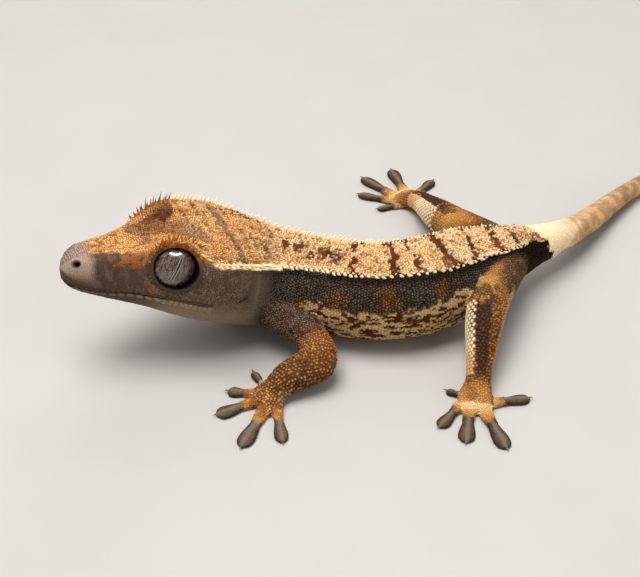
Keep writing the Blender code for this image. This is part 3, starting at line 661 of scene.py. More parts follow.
BODY_TREE = tree_of(SHEETS[0].points.reshape(-1, 3))
LIMB_START = {}
limb_points, limb_sheets = [], []
for number, sheet in enumerate(SHEETS[1:], 1):
    LIMB_START[number] = sum(len(p) for p in limb_points)
    limb_points.append(sheet.points.reshape(-1, 3))
    limb_sheets.append(np.full(len(limb_points[-1]), number))
LIMB_TREE = tree_of(np.concatenate(limb_points))
LIMB_SHEET = np.concatenate(limb_sheets)


def cell_random(cells, seed):
    """A repeatable number from 0 to 1 for every whole-numbered cell."""
    n = cells[..., 0] * 73856093 ^ cells[..., 1] * 19349663 ^ cells[..., 2] * 83492791 ^ (seed * 2654435761)
    n = (n ^ (n >> 13)) * 1274126177 & 0xFFFFFFFF
    return ((n ^ (n >> 16)) & 0xFFFF) / 65535.0


def noise(points, size, seed=0, octaves=3):
    """Smooth random values from 0 to 1, with features of about the given size."""
    total, weight, scale = 0.0, 0.0, 1.0 / size
    for octave in range(octaves):
        at = np.asarray(points) * scale
        cell = np.floor(at).astype(np.int64)
        t = at - cell
        t = t * t * (3 - 2 * t)
        value = 0.0
        for dx in (0, 1):
            for dy in (0, 1):
                for dz in (0, 1):
                    part = cell_random(cell + (dx, dy, dz), seed + octave)
                    for axis, d in enumerate((dx, dy, dz)):
                        part = part * (t[..., axis] if d else 1 - t[..., axis])
                    value = value + part
        total = total + value * 0.5**octave
        weight += 0.5**octave
        scale *= 2.0
    return total / weight


def contrast(value, middle=0.5, width=0.1):
    return smooth_step(middle - width, middle + width, value)


def colour(red, green, blue):
    """A linear colour from screen values of 0 to 255."""
    value = np.array((red, green, blue)) / 255.0
    return np.where(value <= 0.04045, value / 12.92, ((value + 0.055) / 1.055) ** 2.4)


def mixed(base, top, share):
    return base + (top - base) * np.asarray(share)[..., None]


PINK_GREY = colour(176, 150, 132)
TAN = colour(240, 184, 108)
ORANGE = colour(208, 126, 46)
RUST = colour(138, 66, 22)
CREAM = colour(252, 214, 150)
WHITE = colour(255, 240, 208)
DARK_BROWN = colour(56, 28, 15)
PURPLE_BROWN = colour(92, 68, 58)
GREY_BROWN = colour(96, 76, 63)
SLATE = colour(40, 27, 22)
NIGHT = colour(23, 14, 11)
PALE_DOT = colour(170, 148, 124)
BUFF = colour(206, 164, 116)
OLIVE = colour(152, 132, 106)
PAD = colour(106, 94, 76)
LIP = colour(158, 144, 122)
# The near-black of the painted shade in the mouth's line, nostrils, ears and round the eyes.
HOLLOW_SHADE = colour(14, 10, 9)

# Cross bars of the back: place at the middle, slant towards the left side, curve, half width, strength.
BARS = (
    (44.4, 0.7, 0.0, 0.36, 0.9),
    (50.2, 0.15, -0.1, 0.40, 0.9),
    (53.2, -0.1, 0.0, 0.30, 0.6),
    (57.7, -0.5, 0.8, 0.50, 1.0),
    (62.8, -2.1, -0.2, 0.34, 0.75),
    (67.4, -1.8, 0.5, 0.42, 0.95),
    (71.3, -1.2, 0.4, 0.40, 0.55),
)
# Rust patches of the neck and shoulders: distance from the snout, share across the back, size.
RUST_PATCHES = (
    (31.0, -0.2, 0.5), (34.2, 0.0, 0.55), (36.2, -0.1, 0.8),
    (38.4, 0.4, 0.5), (40.0, -0.05, 0.7), (41.8, 0.0, 0.8),
)
# Warm patches of the flank: distance from the snout, section angle, spread along and round.
FLANK_PATCHES = (
    (43.4, 24.0, 1.1, 10.0), (49.2, 32.0, 0.9, 15.0), (54.8, 36.0, 0.7, 10.0), (38.6, 8.0, 0.9, 10.0),
)
# Spots by distance from the snout, spread along, place across, spread across and strength: the orange
# flecks on the side of the head, placed by section angle, and the dark blotches by the left crest, placed
# by share across the back.
FLECKS = ((8.8, 1.9, 46.0, 11.0, 1.0), (11.7, 0.5, -6.0, 6.0, 0.6), (15.6, 0.6, -20.0, 5.0, 0.7))
BLOTCHES = (
    (57.2, 1.1, 0.75, 0.4, 1.0), (66.6, 0.9, 0.72, 0.35, 1.0), (53.7, 0.45, 0.35, 0.35, 0.9),
    (61.6, 0.6, 0.7, 0.25, 0.8),
)
# The large scales of the shank's leading edge: their pitch, where they begin and end round the leg, how
# many stand side by side, and where they begin and end along it.
SHANK_PITCH = 0.66
SHANK_FIRST = -25.0
SHANK_LAST = 60.0
SHANK_COLUMNS = 5
SHANK_TOP = 0.46
SHANK_END = 0.82
# The section angle at which the marbled lower flank begins.
low_flank_curve = curve_through(
    ((0, 10), (36, 6), (42, 12), (50, 15), (54, 18), (58, 27), (64, 20), (70, 0), (150, 0)),
)


def spots(s, across, rows):
    """The sum of the spots in rows of place and spread along, place and spread across, and strength."""
    total = 0.0
    for at, along, place, wide, strength in rows:
        total = total + strength * hump(s, at, along) * hump(across, place, wide)
    return total


def across_back(places):
    """The share across the back: -1 at the right crest, 0 in the middle and 1 at the left one."""
    crest = crest_angle_at(places.s)
    return places.side * (90 - places.angle) / np.maximum(90 - crest, 1.0)


def eye_axes(side):
    """The eye's middle, the way it looks, and the ways up and ahead across it."""
    middle = head_point(EYE_AT, side * EYE_OUT, EYE_UP)
    look = unit(side * HEAD_LEFT - EYE_FORWARD * HEAD_BACK + EYE_RAISED * HEAD_UP)
    up = unit(HEAD_UP - (HEAD_UP @ look) * look)
    ahead = unit(-HEAD_BACK + (HEAD_BACK @ look) * look)
    return middle, look, up, ahead


def eye_reach(points, side):
    """Distance out along the way the eye looks, distance from that line, the eye's middle and that way."""
    middle, look, _, _ = eye_axes(side)
    offset = points - middle
    out = offset @ look
    return out, np.linalg.norm(offset - out[:, None] * look, axis=1), middle, look


def facing_eyes(normals):
    """How far each place faces the way that the left eye and the right eye look."""
    return {side: normals @ eye_axes(side)[1] for side in (1, -1)}


def round_eye(out, facing):
    """Whether a place may belong to the eye's surroundings, and not to the far side of the head."""
    return (out > -0.6) * (facing > -0.35)


def lateral(out, facing):
    """From 0 to 1, how surely a place within the eye's reach is on the eye's own side of the head."""
    return smooth_step(-0.9, -0.3, out) * smooth_step(-0.30, 0.05, facing)


def paint_body(places, facing):
    """The colours of the body: between the scales, partly darker skin and partly painted shade, and on their
    tops, partly their own colour and partly painted light.
    """
    s, angle, p = places.s, places.angle, places.points
    crest = crest_angle_at(s)
    w = across_back(places)
    fine = noise(p, 0.5, 3)
    grain = noise(p, 1.3, 5)
    broad = noise(p, 3.2, 8)
    knots = noise(p, 0.75, 91, 2)

    flank = mixed(mixed(SLATE, NIGHT, broad), GREY_BROWN, 0.8 * smooth_step(36.0, 29.0, s) + 0.06 * fine)
    head_side = mixed(GREY_BROWN, PURPLE_BROWN, 0.6 * grain)
    head_side = mixed(head_side, OLIVE, 0.9 * smooth_step(-8.0, -34.0, angle) * smooth_step(9.0, 16.0, s))
    side = mixed(head_side, flank, smooth_step(28.0, 36.0, s + 3 * (broad - 0.5) - 0.05 * (angle - 10)))
    warm = np.zeros(len(p))
    for at, turn, along, around in FLANK_PATCHES:
        patch = hump(s, at, along) * hump(angle, turn, around)
        warm = np.maximum(warm, contrast(patch * (2.6 * knots - 0.3), 0.42, 0.3))
    side = mixed(side, mixed(RUST, DARK_BROWN, 1.0 - 0.7 * fine), 0.9 * warm)
    start = low_flank_curve(s)[..., 0]
    low = smooth_step(4.0, -4.0, angle - start + 34 * (grain - 0.5)) * smooth_step(35.0, 41.0, s)
    veins = noise(p * (0.7, 1.0, 1.5), 0.6, 71, 3)
    veined = contrast(veins, 0.45 + 0.03 * smooth_step(20.0, 0.0, angle), 0.05)
    marbled = mixed(mixed(DARK_BROWN, RUST, 0.7 * fine), mixed(BUFF, CREAM, 0.2 + 0.8 * grain), veined)
    side = mixed(side, marbled, low * (1 - smooth_step(64.0, 71.0, s)))
    side = mixed(side, mixed(BUFF, CREAM, 0.4), smooth_step(-50.0, -75.0, angle) * smooth_step(22.0, 34.0, s))

    cheek_dark = smooth_step(-30.0, 0.0, angle) * smooth_step(2.2, 4.2, s) * (1 - smooth_step(9.5, 13.0, s))
    side = mixed(side, PURPLE_BROWN, 0.8 * cheek_dark)
    creases = noise(p * (1.0, 1.0, 0.35), 0.5, 101, 2)
    side = mixed(side, LIP, 0.22 * cheek_dark * contrast(creases, 0.55, 0.12))
    # A paler patch on the side of the neck: painted light against the shade in the neck's hollow.
    side = mixed(side, LIP, 0.30 * hump(s, 27.5, 2.6) * smooth_step(34.0, 10.0, angle))
    specks = noise(p, 0.45, 95, 2)
    flecked = contrast(spots(s, angle, FLECKS) * (2.8 * specks - 0.5), 0.42, 0.3)
    side = mixed(side, mixed(ORANGE, RUST, 0.4), flecked * 0.65)
    fold = hump(s + 0.03 * angle, 26.3, 0.55) * smooth_step(24.0, 6.0, angle)
    fold = fold * smooth_step(-32.0, -8.0, angle)
    side = mixed(side, LIP, 0.45 * fold)

    pits = contrast(noise(p, 0.42, 47, 2), 0.63, 0.06)
    crown = mixed(TAN, ORANGE, 0.75 * contrast(0.6 * broad + 0.4 * grain, 0.5, 0.16))
    crown = mixed(crown, CREAM, 0.5 * contrast(noise(p, 0.8, 41), 0.58, 0.1))
    crown = mixed(crown, ORANGE, 0.35 * hump(s, 12.5, 2.5) + 0.3 * smooth_step(5.0, 3.0, s))
    crown = mixed(crown, TAN, 0.5 * hump(s, 10.0, 2.2))
    far_dome = 0.2 * smooth_step(0.1, -0.8, w) * smooth_step(10.0, 12.0, s)
    crown = mixed(crown, DARK_BROWN, pits * (0.65 + far_dome))
    between = hump(w, -0.65 + 0.085 * (s - 9.3), 0.17)
    between = between * smooth_step(8.2, 10.0, s) * smooth_step(20.5, 18.5, s)
    between = between + 0.7 * hump(s, 11.2, 0.8) * hump(w, 0.15, 0.5)
    crown = mixed(crown, GREY_BROWN, 0.6 * contrast(between * (0.2 + 0.8 * grain + 0.8 * specks), 0.45, 0.25))
    dome_back = hump(s, 14.6, 1.0) * hump(w, -0.70, 0.24)
    crown = mixed(crown, SLATE, contrast(dome_back * (0.5 + 1.0 * grain), 0.4, 0.15) * 0.9)
    speckled = hump(s, 13.0, 1.6) * hump(w, -0.85, 0.4)
    crown = mixed(crown, DARK_BROWN, contrast(speckled * (0.1 + 1.5 * fine), 0.62, 0.12) * 0.8)
    streak = hump(s, 22.6 + 0.25 * w, 0.34 + 0.2 * (w < 0))
    streak = streak + 0.5 * hump(s, 20.4 + 0.9 * w, 0.3) * smooth_step(0.3, -0.1, w)
    crown = mixed(crown, PURPLE_BROWN, contrast(streak * (0.3 + 0.8 * grain + 0.5 * fine), 0.45, 0.25) * 0.65)
    blots = contrast(noise(p, 0.9, 21, 2) - 0.10 * smooth_step(0.3, -0.3, w) + 0.10, 0.62, 0.05)
    blots = blots * smooth_step(23.0, 27.0, s) * smooth_step(0.8, 0.3, w)
    crown = mixed(crown, mixed(RUST, DARK_BROWN, fine), blots * 0.9)

    band = mixed(CREAM, TAN, 0.55 * contrast(grain, 0.55, 0.12) + 0.15 * smooth_step(36.0, 29.0, s))
    band = mixed(band, ORANGE, 0.6 * contrast(noise(p, 0.9, 53, 2), 0.60, 0.08))
    rusty = mixed(RUST, DARK_BROWN, 0.6 * fine)
    band = mixed(band, rusty, contrast(noise(p, 0.36, 57, 2), 0.66, 0.05) * 0.85)
    for at, across, size in RUST_PATCHES:
        patch = hump(s, at, 1.2 * size) * hump(w, across, 0.34)
        broken = contrast(patch * (1.7 * knots + 1.6 * specks - 0.95), 0.42, 0.12)
        band = mixed(band, mixed(RUST, DARK_BROWN, 0.3 + fine), broken * 0.95)
    for at, slant, curve, half, strength in BARS:
        line = at + slant * w + curve * w**2 + 1.6 * (grain - 0.5)
        bar = hump(s, line, half * (0.7 + 0.6 * broad)) * strength * (1.9 * knots)
        band = mixed(band, mixed(DARK_BROWN, RUST, 0.5 * grain), contrast(bar, 0.42, 0.1))
    blotched = contrast(spots(s, w, BLOTCHES) * (1.6 * knots + 1.6 * specks - 0.7), 0.45, 0.12)
    band = mixed(band, rusty, blotched * 0.9)
    hips = smooth_step(68.0, 71.5, s) * contrast(noise(p, 0.7, 61, 2), 0.60, 0.05)
    band = mixed(band, mixed(DARK_BROWN, RUST, fine), 0.85 * hips)
    top = mixed(crown, band, smooth_step(28.0, 34.0, s + 2 * (grain - 0.5)))

    snout_edge = 3.4 + 1.4 * (grain - 0.5)
    edge = np.where(s < 12.5, np.where(places.side > 0, 70 - 2.0 * (s - 5).clip(0), 44), crest)
    ragged = 3.0 * (fine - 0.5) * smooth_step(32.0, 36.0, s)
    ragged = ragged + (9.0 * (grain - 0.5) + 16.0 * (knots - 0.5)) * (s < 13)
    for at, slant, curve, _, strength in BARS:
        ragged = ragged - 5.0 * strength * hump(s, at + slant + curve, 0.8)
    ragged = ragged - 4.5 * smooth_step(66.0, 69.0, s) * contrast(grain, 0.5, 0.1)
    blend = np.where(s < 13, 5.0, 1.2)
    on_top = smooth_step(-1.0, 1.0, (angle - edge + ragged) / blend)
    skin = mixed(side, top, on_top)
    lids = np.zeros(len(p))
    for eye_side in (1, -1):
        out, reach, middle, look = eye_reach(p, eye_side)
        above = (p - middle) @ HEAD_UP - 0.12 * ((p - middle) @ HEAD_BACK)
        fringe = smooth_step(5.6, 4.2, reach + 1.6 * (fine - 0.5)) * smooth_step(1.2, 2.4, above)
        lids = np.maximum(lids, fringe * lateral(out, facing[eye_side]))
    skin = mixed(skin, mixed(ORANGE, mixed(TAN, RUST, fine), 0.3 + 0.6 * grain), 0.9 * lids * (1 - on_top))
    skin = mixed(skin, TAN, 0.6 * lids * on_top)
    tip = smooth_step(snout_edge + 1.0, snout_edge - 0.6, s) * smooth_step(-12.0, 20.0, angle)
    skin = mixed(skin, PINK_GREY, tip)

    white_from = 75.6 + 0.03 * (90 - angle) + 1.8 * (noise(p, 0.8, 31, 2) - 0.5)
    tail_white = smooth_step(white_from - 0.2, white_from + 0.2, s)
    fading = smooth_step(79.0, 90.0, s + 7 * (grain - 0.5))
    streaks = noise(p * (0.6, 0.6, 1.0), 0.9, 83)
    streaked = contrast(0.5 * streaks + 0.5 * grain, 0.5, 0.14)
    tail_brown = mixed(mixed(BUFF, CREAM, 0.25), GREY_BROWN, streaked * 0.5)
    tail_brown = mixed(tail_brown, ORANGE, 0.3 * contrast(knots, 0.55, 0.15))
    tail = mixed(mixed(WHITE, CREAM, 0.45), tail_brown, fading)
    tail = mixed(tail, DARK_BROWN, 0.35 * smooth_step(96.0, 110.0, s) * contrast(broad, 0.5, 0.1))
    below = smooth_step(-5.0, -30.0, angle + 20 * (fine - 0.5))
    tail = mixed(tail, DARK_BROWN, 0.6 * smooth_step(79.0, 83.0, s) * below)
    dark_hip = smooth_step(66.0, 72.0, s) * smooth_step(-60.0, -20.0, angle)
    skin = mixed(skin, mixed(NIGHT, DARK_BROWN, 0.5), 0.9 * dark_hip * (1 - on_top))
    skin = mixed(skin, tail, tail_white)

    dots = mixed(PALE_DOT, mixed(TAN, CREAM, 0.4), contrast(low, 0.4, 0.3) * 0.6)
    dots = mixed(dots, mixed(ORANGE, TAN, 0.2 + 0.8 * fine), 0.85 * warm)
    dotted = (1 - on_top) * smooth_step(24.0, 31.0, s) * smooth_step(71.0, 65.0, s)
    dotted = dotted * smooth_step(-60.0, -40.0, angle)
    # The scales' tops: the skin a little paler and whiter on the back, partly their own colour and partly
    # painted light on the tops.
    tops = mixed(skin * 1.12, WHITE, on_top * skin[:, 0] * np.where(s < 30, 0.08, 0.22))
    # Fewer pale dots just below the crest: painted shade under the crest's overhang.
    dotted = dotted * (0.3 + 0.7 * smooth_step(crest - 4, crest - 18, angle))
    tops = mixed(tops, dots, dotted * (0.05 + 0.75 * fine) * np.where(low > 0.5, 0.3 * veined, 1.0))
    speckle = (1 - on_top) * smooth_step(36.0, 29.0, s) * smooth_step(9.0, 17.0, s)
    tops = mixed(tops, PALE_DOT, speckle * (0.1 + 0.5 * contrast(fine, 0.5, 0.2)))
    near_crest = np.exp(-(((angle - crest + 1.0) * places.per_degree / 0.38) ** 2))
    crest_line = near_crest * smooth_step(17.5, 19.5, s) * smooth_step(72.0, 66.0, s)
    crest_line = crest_line * (0.35 + 0.65 * contrast(fine, 0.45, 0.15))
    crest_line = crest_line * np.where(s > 42, on_top * 0.8, 1.0)
    tops = mixed(tops, WHITE, 0.8 * crest_line)
    skin = mixed(skin, CREAM, 0.5 * crest_line * (s < 32))
    # Between the scales: the skin's own darker colour, darkened further with painted shade between the
    # scales, less so on the sides of the head and neck.
    shaded_gaps = skin * np.where(on_top > 0.5, np.where(s < 30, 0.42, 0.52), 0.16 + 0.4 * low)[:, None]
    warm_gaps = 0.4 * on_top * (1 - tail_white) * smooth_step(4.0, 6.0, s)
    shaded_gaps = mixed(shaded_gaps, mixed(RUST, DARK_BROWN, 0.3), warm_gaps)
    shaded_gaps = np.where((tail_white > 0.5)[:, None], skin * 0.8, shaded_gaps)
    plain_side = (1 - on_top) * smooth_step(33.0, 25.0, s)
    shaded_gaps = mixed(shaded_gaps, skin * 0.82, plain_side)
    return shaded_gaps, tops


def turn_from_lead(limb_turn, left):
    """The turn round a leg, measured from its leading edge towards its upper side, from -180 to 180."""
    turn = np.where(left, limb_turn, 180 - limb_turn)
    return (turn + 180) % 360 - 180


def paint_limbs(places):
    """The colours of legs, feet and toes: between the scales, partly darker skin and partly painted shade,
    and on their tops, partly their own colour and partly painted light.
    """
    p = places.points
    names = SHEET_NAMES[places.sheet]
    front = np.char.startswith(names, "front")
    left = np.char.find(names, "left") >= 0
    toe = np.char.find(names, "toe") >= 0
    toe_number = np.array([int(n[-1]) if "toe" in n else -1 for n in names])
    share = places.share
    lead = np.cos(np.radians(places.limb_turn)) * np.where(left, 1.0, -1.0)
    round_leg = turn_from_lead(places.limb_turn, left)
    up = np.sin(np.radians(places.limb_turn))
    fine, grain = noise(p, 0.5, 13), noise(p, 1.4, 15)

    knots = noise(p, 0.8, 93, 2)
    brown = mixed(ORANGE, RUST, 0.3 + 0.7 * contrast(grain, 0.5, 0.15))
    brown = mixed(brown, DARK_BROWN, contrast(knots, 0.56, 0.1) * 0.6)
    bright = mixed(mixed(ORANGE, TAN, 0.5 * fine), RUST, 0.5 * contrast(grain, 0.55, 0.1))
    forearm = mixed(brown, DARK_BROWN, 0.45 * hump(share, 0.72, 0.12))
    from_elbow = smooth_step(0.34, 0.42, share + 0.12 * (grain - 0.5))
    arm = mixed(mixed(SLATE, GREY_BROWN, fine), forearm, from_elbow)
    arm = mixed(arm, bright, 0.75 * hump(share, 0.46, 0.06) * smooth_step(-0.6, 0.3, up))
    arm = mixed(arm, CREAM, 0.7 * hump(share, 0.88, 0.05) * smooth_step(-0.75, -0.95, lead))
    from_hip = smooth_step(0.16, 0.24, share + 0.08 * (grain - 0.5))
    thigh = mixed(mixed(GREY_BROWN, SLATE, 0.5), bright, from_hip)
    thigh = mixed(thigh, brown, smooth_step(0.45, 0.6, share) * 0.6)
    haunch = smooth_step(95.0, 120.0, np.abs(round_leg) + 20 * (grain - 0.5)) * smooth_step(0.40, 0.32, share)
    thigh = mixed(thigh, mixed(GREY_BROWN, SLATE, 0.3), haunch)
    thigh = mixed(thigh, TAN, 0.65 * hump(share, 0.38, 0.06) * hump(round_leg, 60.0, 45.0))
    down_shin = share + 0.10 * (knots - 0.5)
    shin = smooth_step(0.43, 0.49, down_shin) * (1 - smooth_step(0.80, 0.85, down_shin))
    wander = round_leg + 26 * (grain - 0.5) + 20 * (knots - 0.5) - 60 * (share - 0.6)
    stripe = shin * smooth_step(58.0, 64.0, wander) * smooth_step(122.0, 114.0, wander)
    thigh = mixed(thigh, mixed(NIGHT, SLATE, grain), 0.95 * stripe)
    granules = hump(share, 0.42, 0.05) * hump(round_leg, 80.0, 35.0) * (2.4 * knots - 0.4)
    thigh = mixed(thigh, SLATE, 0.8 * contrast(granules, 0.4, 0.2))
    edge = smooth_step(SHANK_FIRST, SHANK_FIRST + 4, round_leg)
    edge = edge * smooth_step(SHANK_LAST + 4, SHANK_LAST, round_leg)
    edge = edge * smooth_step(SHANK_TOP - 0.01, SHANK_TOP + 0.03, share)
    edge = edge * (1 - smooth_step(0.70, 0.80, share))
    thigh = mixed(thigh, mixed(BUFF, DARK_BROWN, 0.6), 0.9 * edge)
    rear = smooth_step(-0.93, -0.98, lead) * smooth_step(0.25, 0.32, share)
    rear = rear * (1 - smooth_step(0.74, 0.82, share))
    thigh = mixed(thigh, CREAM, 0.9 * rear)
    leg = np.where(front[:, None], arm, thigh)
    foot_spots = contrast(0.5 * grain + 0.5 * knots, 0.54, 0.1)
    foot = mixed(mixed(bright, TAN, 0.3), mixed(RUST, DARK_BROWN, 0.4), foot_spots * 0.45)
    leg = mixed(leg, foot, smooth_step(0.80, 0.88, share) * np.where(front, 0.45, 0.95))
    knuckles = contrast(hump(share, 0.98, 0.02) * (0.6 + 0.8 * fine), 0.5, 0.2) * np.where(front, 0.1, 0.95)
    leg = mixed(leg, mixed(CREAM, WHITE, 0.3), knuckles * (~toe))

    palm_end = np.where(front, 0.40, 0.30)
    near_palm = smooth_step(palm_end + 0.07, palm_end - 0.07, share + 0.25 * (fine - 0.5))
    warm = 0.7 * smooth_step(0.05, 0.2, share) * contrast(grain, 0.42, 0.2)
    toe_top = mixed(foot, mixed(ORANGE, TAN, 0.6), warm)
    pale_root = np.where(front, 0.0, 0.85) * smooth_step(0.24, 0.1, share)
    toe_top = mixed(toe_top, mixed(CREAM, TAN, 0.3), pale_root)
    toe_top = mixed(toe_top, RUST, 0.55 * contrast(knots, 0.5, 0.12) * front)
    toe_top = mixed(toe_top, mixed(CREAM, BUFF, 0.4), 0.7 * (toe_number == 0))
    # Dark lines across the pads where the lamellae lie: painted shade of their grooves, in place of relief.
    lamella_shade = 0.5 + 0.5 * np.cos(share * 95.0 + 3.0 * grain)
    pad = mixed(mixed(PAD, GREY_BROWN, 0.3 + 0.7 * contrast(knots, 0.5, 0.15)), SLATE, 0.25 * (~front))
    pad = mixed(pad, SLATE, 0.35 * lamella_shade * smooth_step(0.5, 0.6, share) * contrast(fine, 0.4, 0.2))
    pad = mixed(pad, SLATE, 0.4 * contrast(noise(p, 0.22, 97, 2), 0.58, 0.08))
    # A paler stripe along each toe's top and bottom is painted sheen, and the darker sides are painted shade.
    pad = mixed(pad, LIP, 0.35 * smooth_step(0.5, 0.1, np.abs(lead + 0.5 * (grain - 0.5))))
    pad = mixed(pad, SLATE, 0.7 * smooth_step(0.55, 0.95, np.abs(lead)))
    toes = mixed(pad, toe_top, near_palm)
    skin = np.where(toe[:, None], toes, leg)

    dotted_arm = np.where(front, smooth_step(0.42, 0.32, share), 0.0) * (~toe)
    pale = mixed(mixed(CREAM, TAN, 0.55), PALE_DOT, dotted_arm)
    amount = (0.05 + 0.8 * contrast(fine, 0.5, 0.25)) * np.where(front, 0.9, 0.6)
    amount = np.maximum(amount, 0.9 * contrast(dotted_arm * fine, 0.4, 0.2))
    # The scales' tops: the skin paler, with pale dots, partly their own colour and partly painted light on
    # the tops.
    tops = mixed(skin * 1.2, pale, amount * np.where(toe, near_palm * 0.35, 0.85))
    tops = np.where((stripe * (~front) * (~toe))[:, None] > 0.5, mixed(skin, PALE_DOT, 0.22), tops)
    # Between the scales: darker skin, darkened further with painted shade between the scales.
    shaded_gaps = mixed(skin * 0.30, mixed(RUST, DARK_BROWN, 0.7) * 0.6, 0.5 * (~toe))
    shaded_gaps = mixed(shaded_gaps, skin * 0.75, knuckles)
    pale_gaps = hump(share, 0.34, 0.08) * hump(round_leg, 60.0, 50.0) + smooth_step(0.84, 0.90, share)
    shaded_gaps = mixed(shaded_gaps, skin * 0.62, 0.7 * pale_gaps * (~front) * (~toe))
    shaded_gaps = np.where(toe[:, None], mixed(skin * 0.55, skin, 1 - near_palm), shaded_gaps)
    return shaded_gaps, tops


def paint(places, normals):
    """The colours between the scales, with painted shade, and on them, with some painted light, blended where
    a leg meets the body.
    """
    facing = facing_eyes(normals)
    body_ground, body_tops = paint_body(places, facing)
    limb_ground, limb_tops = paint_limbs(places)
    return mixed(body_ground, limb_ground, places.on_limb), mixed(body_tops, limb_tops, places.on_limb)


def mouth_distance(places):
    """Distance above the mouth's line, in millimetres."""
    return (places.angle - mouth_angle_at(places.s)) * places.per_degree


def ear_offset(places):
    """Distances along and across the ear's slanting slit."""
    along = places.s - EAR[0]
    upwards = (places.angle - EAR[1]) * places.per_degree
    c, n = math.cos(math.radians(EAR_SLANT)), math.sin(math.radians(EAR_SLANT))
    return along * c + upwards * n, upwards * c - along * n


def ear_slit(places, outer, inner):
    """How far inside the ear's slit a place is, from 0 to 1."""
    along, across = ear_offset(places)
    return smooth_step(outer, inner, np.hypot(along / EAR_HALF_LENGTH, across / (EAR_HALF_WIDTH * EAR_GAPE)))


def nostril_distance(places):
    return np.hypot(places.s - NOSTRIL[0], (places.angle - NOSTRIL[1]) * places.per_degree)


def head_relief(places, points, normals):
    """Presses the mouth, nostrils, ears and folds into the skin and raises the lids."""
    body = 1 - places.on_limb
    facing = facing_eyes(normals)
    gap = mouth_distance(places)
    mouth = smooth_step(0.3, 1.2, places.s)
    mouth = mouth * (1 - smooth_step(MOUTH_CORNER - 0.8, MOUTH_CORNER + 0.3, places.s))
    push = mouth * (-0.24 * hump(gap, 0.0, 0.09) + 0.08 * hump(np.abs(gap), 0.45, 0.2))
    corner = hump(places.s, MOUTH_CORNER + 0.5, 0.7) * hump(gap, 0.0, 0.5)
    push = push - 0.12 * corner
    nostril = nostril_distance(places)
    push = push - 0.75 * smooth_step(NOSTRIL_RADIUS + 0.12, 0.1, nostril) + 0.12 * hump(nostril, 0.68, 0.16)
    slit_along, slit_across = ear_offset(places)
    push = push - 0.55 * ear_slit(places, 1.0, 0.55) * (places.s > 20)
    push = push + 0.12 * hump(slit_across, 0.5, 0.2) * hump(slit_along, 0.0, 0.9) * (places.s > 20)
    fold = hump(places.s + 0.03 * places.angle, 26.9, 0.3) * smooth_step(24.0, 6.0, places.angle)
    push = push - 0.16 * fold * smooth_step(-40.0, -10.0, places.angle) * (places.s > 24)
    wrinkles = noise(points * (1.0, 1.0, 0.45), 0.8, 77, 2) - 0.5
    push = push + 0.10 * wrinkles * smooth_step(35.0, 5.0, places.angle) * (places.s < 34)
    points = points + (body * push)[:, None] * normals
    for side in (1, -1):
        out, reach, middle, look = eye_reach(points, side)
        over_eye = np.clip((points - middle) @ HEAD_UP / EYE_RADIUS, -1, 1)
        thick = LID_THICKNESS * (1 + 0.25 * over_eye)
        ball = EYE_DEPTH * np.sqrt(np.clip(1 - (reach / EYE_RADIUS) ** 2, 0, 1))
        ring = LID_OUT + np.sqrt(np.clip(thick**2 - (reach - LID_RING) ** 2, 0, None))
        on_ring = smooth_step(thick, 0.6 * thick, np.abs(reach - LID_RING))
        raised = np.maximum(out, out + on_ring * (ring - out))
        groove = 0.12 * hump(reach, 3.86, 0.10)
        raised = np.where(reach > LID_RING - 0.25, raised - groove, raised)
        sunk = np.minimum(raised, ball - 0.45 - 0.9 * smooth_step(EYE_RADIUS, 0.0, reach))
        inside = smooth_step(EYE_RADIUS + 0.02, EYE_RADIUS - 0.12, reach)
        new_out = raised + inside * (sunk - raised)
        near = lateral(out, facing[side]) * (reach < 4.6)
        points = points + (near * (new_out - out))[:, None] * look
    return points


def vertex_normals(mesh):
    normals = np.empty(len(mesh.vertices) * 3, np.float32)
    mesh.vertex_normals.foreach_get("vector", normals)
    return normals.reshape(-1, 3).astype(float)


def subdivide_head(mesh, points):
    """Splits the head's faces in four."""
    work = bmesh.new()
    work.from_mesh(mesh)
    work.verts.ensure_lookup_table()
    tail_of_head = (points - np.array(SNOUT_TIP)) @ HEAD_BACK
    aside = (points - np.array(SNOUT_TIP)) @ HEAD_LEFT
    above = (points - np.array(SNOUT_TIP)) @ HEAD_UP
    chosen = (tail_of_head < NECK_START) & (np.abs(aside) < 11) & (above > -8.5 + 0.1 * tail_of_head)
    edges = [e for e in work.edges if chosen[e.verts[0].index] and chosen[e.verts[1].index]]
    bmesh.ops.subdivide_edges(work, edges=edges, cuts=1, use_grid_fill=True)
    bmesh.ops.triangulate(work, faces=[f for f in work.faces if len(f.verts) > 4])
    work.to_mesh(mesh)
    work.free()


